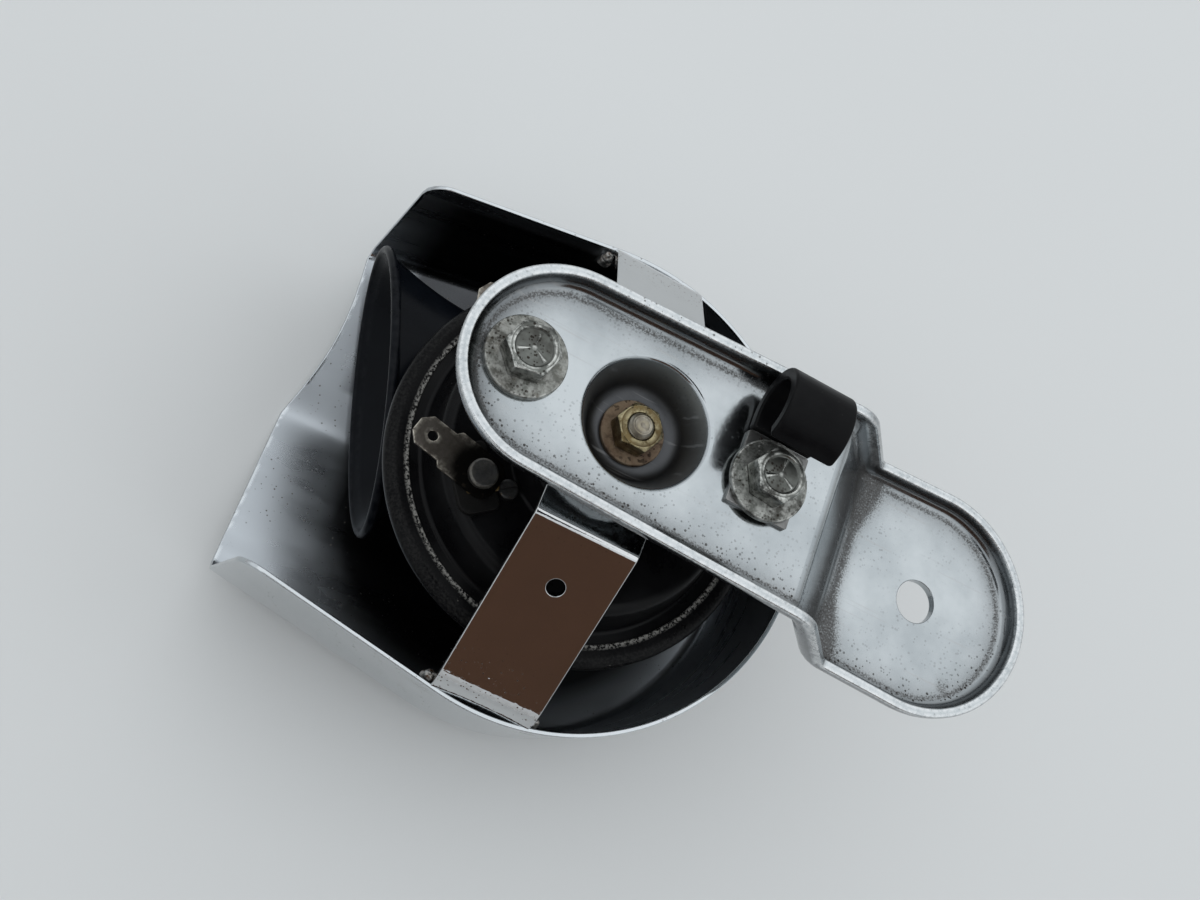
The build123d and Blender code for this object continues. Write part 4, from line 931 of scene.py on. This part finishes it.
def coverSheet(u, v, inset, ease):
    # One face of the wall. u runs from the mouth along the lower side (-1 to -0.5), round the end
    # (-0.5 to 0.5) and back along the upper side to the mouth; v runs down the wall (0 to 1), over
    # the rounded edge (1 to 2) and across the front face to the keel (2 to 3).
    size = cover
    lean = size["converge"] * rad
    slant = np.tan(size["draft"] * rad)
    side = np.sign(u)
    onEnd = np.abs(u) <= 0.5
    around = np.clip(u / 0.5, -1, 1) * (np.pi / 2 + lean)
    share = np.clip((np.abs(u) - 0.5) / 0.5, 0, 1)
    tangentX = -size["radius"] * np.sin(lean)
    tangentY = size["radius"] * np.cos(lean)
    depth = size["back"] - size["keel"]
    cornerR = size["cornerR"]
    rake = (size["mouthFront"] - size["mouthBack"]) / depth
    slope = (size["brow"] - size["keel"]) / (size["radius"] - size["crease"])
    bend = size["edgeR"] - inset
    level = size["back"] - ease - (depth - 20) * np.clip(v, 0, 1) + 0 * u
    for _ in range(6):
        down = size["back"] - level
        short = np.clip(cornerR - down + ease, 0, cornerR)
        corner = np.sqrt(np.maximum(cornerR ** 2 - short ** 2, 0))
        mouthX = -(size["mouthBack"] + rake * down) + (cornerR - corner) + ease
        # the upper half of the front face is cut back in a slight bow
        mouthX = mouthX + np.where((v > 2) & (u > 0), size["bow"] * np.sin(np.pi * np.clip(3 - v, 0, 1)), 0.0)
        x = np.where(onEnd, size["radius"] * np.cos(around), tangentX + share * (mouthX - tangentX))
        sideY = side * (tangentY + (x - tangentX) * np.tan(lean))
        y = np.where(onEnd, size["radius"] * np.sin(around), sideY)
        turned = onEnd & (x > 0)
        footX = np.where(turned, 0.0, x)
        reach = np.where(turned, size["radius"], np.abs(y))
        # where the wall and the front face would meet, and where the rounding touches them
        full = depth - inset
        meet = (reach - inset - slant * full - slant * slope * size["crease"]) / (1 - slant * slope)
        meetLevel = size["keel"] + inset + slope * (meet - size["crease"])
        wallWay = np.array([slant, 1]) / np.hypot(slant, 1)
        frontWay = np.array([-1, -slope]) / np.hypot(1, slope)
        half = np.arccos(wallWay @ frontWay) / 2
        touch = bend / np.tan(half)
        centreWay = (wallWay + frontWay) / np.hypot(*(wallWay + frontWay))
        centreS = meet + centreWay[0] * bend / np.sin(half)
        centreZ = meetLevel + centreWay[1] * bend / np.sin(half)
        wallEnd = meetLevel + wallWay[1] * touch
        wallZ = size["back"] - ease + np.clip(v, 0, 1) * (wallEnd - size["back"] + ease)
        wallS = reach - inset - (size["back"] - wallZ) * slant
        first = np.arctan2(meetLevel + wallWay[1] * touch - centreZ, meet + wallWay[0] * touch - centreS)
        final = np.arctan2(meetLevel + frontWay[1] * touch - centreZ, meet + frontWay[0] * touch - centreS)
        angle = first + np.clip(v - 1, 0, 1) * (final - first)
        bendS = centreS + bend * np.cos(angle)
        bendZ = centreZ + bend * np.sin(angle)
        frontS = (meet + frontWay[0] * touch) * np.clip(3 - v, 0, 1)
        frontZ = size["keel"] + inset + slope * (np.sqrt(frontS ** 2 + size["crease"] ** 2) - size["crease"])
        away = np.where(v <= 1, wallS, np.where(v <= 2, bendS, frontS))
        level = np.where(v <= 1, wallZ, np.where(v <= 2, bendZ, frontZ))
    dirX = np.where(turned, np.cos(around), 0.0)
    dirY = np.where(turned, np.sin(around), side)
    return np.stack([footX + dirX * away, dirY * away, level], -1)


def makeCover():
    size = cover
    straight = np.linspace(0.5, 1, 70)
    u = np.concatenate([-straight[::-1], np.linspace(-0.5, 0.5, 160)[1:-1], straight])
    wall = np.concatenate([1 - np.cos(np.linspace(0, 60, 10) * rad), np.linspace(0.5, 1, 14)[1:]])
    wall = wall / wall[-1]
    front = 3 - (1 - np.linspace(0, 1, 34)[1:]) ** 1.4
    v = np.concatenate([wall ** 1.3, 1 + np.linspace(0, 1, 11)[1:], front])
    shells = []
    for inset in (0.0, size["sheet"]):
        shells.append(gridShell(coverSheet(u[:, None], v[None], inset, size["ease"])))
    # the cut edge: the border of the outer face is led over to the border of the inner one
    borderU = np.concatenate([np.full(len(v) - 1, u[0]), u, np.full(len(v) - 1, u[-1])])
    borderV = np.concatenate([v[::-1][:-1], np.full(len(u), v[0]), v[1:]])
    ease = size["ease"]
    quarter = np.linspace(0, 90, 5) * rad
    levels = [(ease * (1 - np.cos(a)), ease * (1 - np.sin(a))) for a in quarter]
    levels += [(size["sheet"] - inset, back) for inset, back in levels[::-1]]
    strip = np.stack([coverSheet(borderU, borderV, inset, back) for inset, back in levels])
    shells.append(gridShell(strip))

    def nearStrap(p):
        return 0.5 * np.exp(-((np.abs(p[:, 0]) - 14) / 3) ** 2 - ((p[:, 2] + 51.5) / 3) ** 2)

    def shadeBesideHorn(p):
        # Deep inside the cover the wall is painted dark, a painted shade and painted reflection of the black
        # horn, up to a hand's width from the mouth.
        fromStud = np.hypot(p[:, 0], p[:, 1])
        behindBell = np.clip((p[:, 0] + np.where(p[:, 1] > 12, 60, 52)) / 7, 0, 1)
        reach = np.where(p[:, 1] > 12, 84, 59)
        return np.clip((reach - fromStud) / 10, 0, 1) * behindBell * (p[:, 2] < -52) * 0.92

    masks = {"stain": nearStrap, "deep": shadeBesideHorn}
    makePiece("chromed_cover", shells, "cover_chrome", ["cover_shell"], masks, lining=(0.0, 1.0, 0.3))


makeCover()
print("cover made")

strap = {
    "wide": 25.4, "sheet": 2.0, "flat": 25.0, "bend": 3.0, "footBend": 12.0, "foot": 7.0, "holeR": 2.15,
    "holeY": 36.0, "studHoleR": 3.3, "top": -11.8, "knee": -44.0, "footY": 62.6
}


def makeStrap():
    size = strap
    low = size["knee"] - size["foot"]
    path = roundedPath([(-size["footY"], low), (-size["footY"], size["knee"], size["footBend"]),
                        (-size["flat"], size["top"], size["bend"]), (size["flat"], size["top"], size["bend"]),
                        (size["footY"], size["knee"], size["footBend"]), (size["footY"], low)], steps=14)
    place, length = alongPath(path)
    half = size["wide"] / 2
    outline = roundedBox(-half, half, 0, length[-1], 0.6, 4)
    rows = easedRows(0, -size["sheet"], 0.3, 4)
    legAt = [np.interp(y, path[:, 0], length) for y in (-size["holeY"], 0, size["holeY"])]
    loops = [(denseLoop(outline, 0.7), rows, False)]
    loops += [holeLoop(0, spot, r, 64, easedRows(0, -size["sheet"], 0.2))
              for spot, r in zip(legAt, (size["holeR"], size["studHoleR"], size["holeR"]))]
    inner = bandPoints(length, half - 0.6, 1.6)
    for spot in legAt:
        inner = inner[np.hypot(inner[:, 0], inner[:, 1] - spot) > 4.4]

    def footRust(p):
        return np.exp(-((p[:, 2] + 52) / 2.6) ** 2) * 0.9

    def lowerBend(p):
        # The plating is rippled at the feet and a little at the upper bends.
        upper = 0.35 * np.exp(-((np.abs(p[:, 1]) - size["flat"] - 1.5) / 2.2) ** 2)
        return np.maximum(np.clip((-33.0 - p[:, 2]) / 5, 0, 1), upper)

    makePiece("cover_strap_band", plateShells(loops, place, inner), "strap_chrome", ["cover_strap"],
              {"stain": footRust, "peel": lowerBend, "grime": lowerBend})


def weldShell(x, y, z, radius, seed):
    # A ball with lumps: its radius swells by slow waves of the two angles.
    lat = np.linspace(0, np.pi, 25)[:, None]
    lon = np.linspace(0, 2 * np.pi, 36, endpoint=False)[None]
    lump = 1 + 0.10 * np.sin(3 * lon + seed) * np.sin(2 * lat + seed)
    lump = lump + 0.07 * np.cos(5 * lat + 2 * lon + 2 * seed)
    r = radius * lump
    grid = np.stack([x + r * np.sin(lat) * np.cos(lon), y + r * np.sin(lat) * np.sin(lon),
                     z + 1.15 * r * np.cos(lat) + 0 * lon], -1)
    grid[0], grid[-1] = grid[0].mean(0), grid[-1].mean(0)
    return gridShell(grid, wrapV=True)


weld = {"beads": ((-0.4, 1.75), (2.0, 1.5)), "level": -49.85, "beside": 0.65, "offWall": 1.3}


def makeWelds():
    # Two beads on each side of each foot, where the strap's edge meets the cover's leaning wall.
    beads = []
    drop = cover["back"] - weld["level"]
    inside = cover["radius"] - cover["sheet"] - drop * np.tan(cover["draft"] * rad)
    for sideX in (-1, 1):
        for sideY in (-1, 1):
            x = sideX * (strap["wide"] / 2 + weld["beside"])
            y = sideY * (np.sqrt(inside ** 2 - x ** 2) - weld["offWall"])
            for number, (rise, r) in enumerate(weld["beads"]):
                beads.append(weldShell(x, y, weld["level"] + rise, r, 1.7 * sideX + 2.3 * sideY + number))
    makePiece("weld_beads", beads, "weld_metal", ["strap_welds"])


makeStrap()
makeWelds()
print("strap and welds made")


# Horn body: back housing, front plate and gaskets.
horn = {
    "canSheet": 1.2, "canTop": -18.3, "ledge": -31.0, "flange": -42.2, "stackR": 45.7, "lipR": 42.8,
    "rimR": 48.5, "rimTop": -41.0, "roll": 2.8, "plateBottom": -46.0, "dishBottom": -50.0
}


def makeHornBody():
    size = horn
    path = [(3.1, size["canTop"]), (20.0, size["canTop"], 3.0), (20.8, size["ledge"], 1.2),
            (37.0, size["ledge"], 3.2), (39.6, size["flange"], 1.4), (size["stackR"], size["flange"])]
    can = sheetSection(path, size["canSheet"], edge=0.15, steps=10)
    makePiece("stepped_can", [turnedShell(can, 220)], "black_enamel", ["back_housing"])
    path = [(size["lipR"] + out, size["rimTop"]) for out in (0, 0.55, 1.1, 1.5)]
    path += [(size["rimR"], size["rimTop"], size["roll"]), (size["rimR"], size["plateBottom"], 1.8),
             (43.5, size["plateBottom"], 1.6), (41.0, size["dishBottom"], 2.8), (13.0, size["dishBottom"])]
    plate = sheetSection(path, size["canSheet"], edge=0.35, steps=10)

    # a thin pale ring on top of the rolled lip: partly wear and partly painted highlight
    def lip(p):
        return (p[:, 2] > -42.3) * np.exp(-((np.hypot(p[:, 0], p[:, 1]) - 43.35) / 0.6) ** 4)

    makePiece("rolled_plate", [turnedShell(plate, 260)], "rim_enamel", ["front_plate"], {"worn": lip})


makeHornBody()
print("horn body made")


# Terminals.
terminals = {
    "angles": (216.3, 149.0), "turns": (167.3, 149.0), "ringR": 29.9, "ledge": -31.0, "thick": 0.8,
    "wide": 7.9, "baseWide": 10.4, "base": 9.0, "long": 18.5, "heel": 4.6, "tipCut": 2.2, "holeR": 1.2,
    "holeAt": 14.0, "plateThick": 2.0, "plateIn": 3.2, "plateOut": 6.4, "plateWide": 16.5, "brass": 7.8,
    "brassThick": 0.8, "rivetR": 2.0, "headR": 3.5, "headHigh": 2.0
}


def turnedPlace(x, y, turn, base):
    # Plan points turned about their origin, then set at (x, y) and lifted.
    c, s = np.cos(turn * rad), np.sin(turn * rad)

    def place(plan, height):
        u, v = plan[:, 0], plan[:, 1]
        return np.stack([x + c * u - s * v, y + s * u + c * v, base + height], 1)

    return place


def paintedShadowRound(x, y):
    # Painted shadow: the blade is painted dark round the rivet, and the dark ends at the blade's shoulder.
    def paintedShadow(p):
        return np.clip((9.2 - np.hypot(p[:, 0] - x, p[:, 1] - y)) / 2.6, 0, 1)

    return paintedShadow


def makeTerminals():
    size = terminals
    half, base, cut, long = size["wide"] / 2, size["baseWide"] / 2, size["tipCut"], size["long"]
    lower = [(-size["heel"], -base, 3.4), (size["base"], -base, 0.6), (size["base"] + 1, -half, 0.4),
             (long - cut, -half, 0.3), (long, -half + cut, 0.3)]
    blade = lower + [(x, -y, radius) for x, y, radius in lower[::-1]]
    blade = denseLoop(roundedPath(blade, closed=True, steps=6), 0.8)
    inner = planGrid(np.arange(-3.5, long - 0.8, 0.9), np.arange(-3.0, 3.1, 0.75))
    for spot, radius in ((0, size["rivetR"]), (size["holeAt"], size["holeR"])):
        inner = inner[np.hypot(inner[:, 0] - spot, inner[:, 1]) > radius + 0.4]
    rivets, insulators, brasses = [], [], []
    for index, name in enumerate(("lower_blade_tab", "upper_blade_tab")):
        angle = size["angles"][index]
        x, y = size["ringR"] * np.cos(angle * rad), size["ringR"] * np.sin(angle * rad)
        level = size["ledge"] + size["plateThick"] + size["brassThick"]
        rows = easedRows(size["thick"], 0, 0.14)
        loops = [(blade, rows, False), holeLoop(0, 0, size["rivetR"], 48, rows),
                 holeLoop(size["holeAt"], 0, size["holeR"], 40, rows)]
        shells = plateShells(loops, turnedPlace(x, y, size["turns"][index], level), inner)
        makePiece(name, shells, "tinned_blade", ["lower_terminal" if index == 0 else "upper_terminal"],
                  {"deep": paintedShadowRound(x, y)})
        for outside in (True, False):
            across = size["plateWide"] * (1 if outside else 0.7) / 2
            out = size["plateOut"] - (0 if outside else 2.4)
            outline = roundedPath([(-size["plateIn"], -across, 1.5), (out, -across, 3.0), (out, across, 3.0),
                                   (-size["plateIn"], across, 1.5)], closed=True, steps=6)
            low = size["ledge"] if outside else size["ledge"] - horn["canSheet"] - size["plateThick"]
            loops = [(outline, easedRows(size["plateThick"], 0, 0.35, 4), False),
                     holeLoop(0, 0, size["rivetR"], 48, easedRows(size["plateThick"], 0, 0.1))]
            insulators += plateShells(loops, turnedPlace(x, y, angle, low))
        side = size["brass"] / 2
        loops = [(roundedBox(-side, side, -side, side, 0.8, 5), easedRows(size["brassThick"], 0, 0.15), False),
                 holeLoop(0, 0, size["rivetR"], 48, easedRows(size["brassThick"], 0, 0.1))]
        under = size["ledge"] + size["plateThick"]
        brasses += plateShells(loops, turnedPlace(x, y, size["turns"][index] + 45, under))
        seat = level + size["thick"]
        shank, headR, headTop = size["rivetR"], size["headR"], seat + size["headHigh"]
        section = [(0, seat - 6.8), (2.9, seat - 6.8, 0.3), (2.9, seat - 5.8), (shank, seat - 5.8),
                   (shank, seat), (headR, seat, 0.2), (headR, headTop, 0.7), (0, headTop)]
        rivets.append(turnedShell(roundedPath(section, closed=True, steps=6), 72, (x, y)))
    makePiece("domed_rivets", rivets, "terminal_rivet", ["terminal_rivets"])
    makePiece("fibre_plates", insulators, "insulator_fibre", ["terminal_insulators"])
    makePiece("brass_squares", brasses, "contact_brass", ["terminal_washers"])


makeTerminals()
print("terminals made")


# Trumpet: a channel that winds once under the plate and opens into a wide mouth.
trumpet = {
    "wall": 2.0, "from": -100.0, "to": 110.8, "startR": 15.0, "endR": 24.07, "startHalf": (7.5, 6.0),
    "endHalf": (17.0, 15.5), "bellLong": 46.5, "mouthHalf": (38.0, 23.0), "flare": 2.2, "lean": 1.0,
    "roof": -51.0, "mouthTop": -49.0, "lip": 1.2, "baseR": 40.0, "baseTop": -50.0, "baseThick": 4.0
}


def tubeAt(t):
    # The channel's middle, its heading and lean, its half sizes and its top: a spiral whose radius
    # and half sizes grow evenly for t in 0 to 1, then a straight bell that opens late for t in 1 to 2.
    size = trumpet
    turn = np.clip(t, 0, 1)
    out = np.clip(t - 1, 0, 1)
    swell = out ** size["flare"]
    angle = (size["from"] + (size["to"] - size["from"]) * turn) * rad
    radius = size["startR"] + (size["endR"] - size["startR"]) * turn
    heading = angle + np.pi / 2
    wide, high = (start + (end - start) * turn + (mouth - end) * swell
                  for start, end, mouth in zip(size["startHalf"], size["endHalf"], size["mouthHalf"]))
    x = radius * np.cos(angle) + size["bellLong"] * out * np.cos(heading)
    y = radius * np.sin(angle) + size["bellLong"] * out * np.sin(heading)
    top = size["roof"] + (size["mouthTop"] - size["roof"]) * swell
    return x, y, heading, size["lean"] * out * rad, wide, high, top


def tubeGrid(t, grow, ahead, around):
    # Ellipses square to the channel at each t, grown by grow and moved ahead along the channel.
    x, y, heading, lean, wide, high, top = (np.asarray(part)[:, None] for part in tubeAt(t))
    grow, ahead = np.asarray(grow)[:, None], np.asarray(ahead)[:, None]
    c, s = np.cos(heading), np.sin(heading)
    a = np.maximum(wide + grow, 0) * np.cos(around)
    b = np.maximum(high + grow, 0) * np.sin(around)
    alongX, alongZ = np.cos(lean), np.sin(lean)
    return np.stack([x - s * a - c * np.sin(lean) * b + c * alongX * ahead,
                     y + c * a - s * np.sin(lean) * b + s * alongX * ahead,
                     top - high + np.cos(lean) * b + alongZ * ahead + 0 * a], -1)


def makeTrumpet():
    size = trumpet
    around = np.linspace(0, 2 * np.pi, 120, endpoint=False)[None]
    t = np.concatenate([np.linspace(0, 1, 60), 1 + np.linspace(0, 1, 56)[1:]])
    lip = size["lip"]
    arc = np.linspace(-80, 170, 12) * rad
    lipGrow = lip * 0.2 + lip * np.cos(arc) - 0.2
    lipAhead = lip * np.sin(arc)
    mouth = np.full(len(arc), 2.0)
    keep = t < 1.985
    outer = tubeGrid(t[keep], np.zeros(keep.sum()), np.zeros(keep.sum()), around)
    bead = tubeGrid(mouth, lipGrow, lipAhead, around)
    inner = tubeGrid(t[keep][::-1], np.full(keep.sum(), -size["wall"]), np.zeros(keep.sum()), around)
    ends = [ring.mean(1, keepdims=True) + 0 * ring for ring in (outer[:1], inner[-1:])]
    tube = gridShell(np.concatenate([ends[0], outer, bead, inner, ends[1]]), wrapV=True)
    low, top, r = size["baseTop"] - size["baseThick"], size["baseTop"], size["baseR"]
    section = [(12.0, low, 0.4), (r, low, 1.5), (r, top, 0.3), (12.0, top, 0.3)]
    base = turnedShell(roundedPath(section, closed=True, steps=6), 180)
    makePiece("snail_trumpet", [tube, base], "trumpet_black", ["trumpet"])


makeTrumpet()
print("trumpet made")


# Floor, lights and camera.
studio = {
    "floorColour": (0.60, 0.61, 0.61), "skyLow": (0.55, 0.56, 0.565), "skyHigh": (0.96, 1.0, 1.03),
    "skyFrom": 0.05, "skyTo": 0.45, "softbox": 5.6, "softboxSize": 2.4, "softboxPlace": (0.05, 0.35, 1.25),
    "card": (0.15, 0.075, 0.045), "darkCard": (0.01, 0.01, 0.012)
}


def stagePlane(name, centre, right, up, material):
    # A flat card from its middle and its two half sides.
    centre, right, up = (np.array(part, float) for part in (centre, right, up))
    corners = [centre - right - up, centre + right - up, centre + right + up, centre - right + up]
    mesh = bpy.data.meshes.new(name)
    mesh.from_pydata([tuple(corner) for corner in corners], [], [(0, 1, 2, 3)])
    mesh.materials.append(material)
    card = bpy.data.objects.new(name, mesh)
    bpy.context.scene.collection.objects.link(card)
    return card


def plainMaterial(name, colour, rough):
    material = bpy.data.materials.new(name)
    material.use_nodes = True
    shader = material.node_tree.nodes["Principled BSDF"]
    shader.inputs["Base Color"].default_value = (*colour, 1)
    shader.inputs["Roughness"].default_value = rough
    shader.inputs["Specular IOR Level"].default_value = 0.2
    return material


def makeStudio():
    low = cadBox[0][2]
    stagePlane("table_top", (0, 0, low), (4, 0, 0), (0, 4, 0),
               plainMaterial("pale_table", studio["floorColour"], 0.6))
    brown = stagePlane("warm_card", (0.1, -0.85, 0.42), (0.55, 0, 0), (0, 0.14, 0.2),
                       plainMaterial("warm_board", studio["card"], 0.8))
    dark = stagePlane("dark_card", (-0.12, -0.22, 0.52), (0.16, -0.09, 0), (0.04, 0.07, 0.05),
                      plainMaterial("dark_board", studio["darkCard"], 0.9))
    for card in (brown, dark):
        card.visible_camera = False
    dark.visible_diffuse = False
    dark.visible_shadow = False
    world = bpy.data.worlds.new("room")
    bpy.context.scene.world = world
    world.use_nodes = True
    # the room is grey near the table's level and pale overhead
    tree = world.node_tree
    direction = tree.nodes.new("ShaderNodeTexCoord").outputs["Generated"]
    parts = tree.nodes.new("ShaderNodeSeparateXYZ")
    link(tree, direction, parts.inputs["Vector"])
    rise = rangeNode(tree, parts.outputs["Z"], studio["skyFrom"], studio["skyTo"])
    sky = mixNode(tree, rise, studio["skyLow"], studio["skyHigh"])
    link(tree, sky, tree.nodes["Background"].inputs["Color"])
    lamp = bpy.data.lights.new("soft_top", "AREA")
    lamp.shape = "SQUARE"
    lamp.size = studio["softboxSize"]
    lamp.energy = studio["softbox"]
    lampObject = bpy.data.objects.new("soft_top", lamp)
    lampObject.location = studio["softboxPlace"]
    bpy.context.scene.collection.objects.link(lampObject)


# right, up and back of the camera, worked out from the bracket's holes, rim and cover
view = {"right": (0.868771, 0.344072, 0.356163), "up": (-0.445605, 0.856907, 0.259127),
        "back": (-0.21604, -0.38383, 0.897776), "spot": (-66.784, -116.335, 246.6),
        "sensor": 36.0, "lens": 39.0, "nearest": 0.01}


def makeCamera():
    camera = bpy.data.cameras.new("horn_camera")
    camera.sensor_width = view["sensor"]
    camera.lens = view["lens"]
    camera.clip_start = view["nearest"]
    cameraObject = bpy.data.objects.new("horn_camera", camera)
    matrix = Matrix((view["right"], view["up"], view["back"])).transposed().to_4x4()
    matrix.translation = (np.array(view["spot"]) + eyeShift) / 1000
    cameraObject.matrix_world = matrix
    bpy.context.scene.collection.objects.link(cameraObject)
    bpy.context.scene.camera = cameraObject


makeStudio()
makeCamera()
bpy.context.scene.view_settings.view_transform = "Standard"
print("studio and camera made")
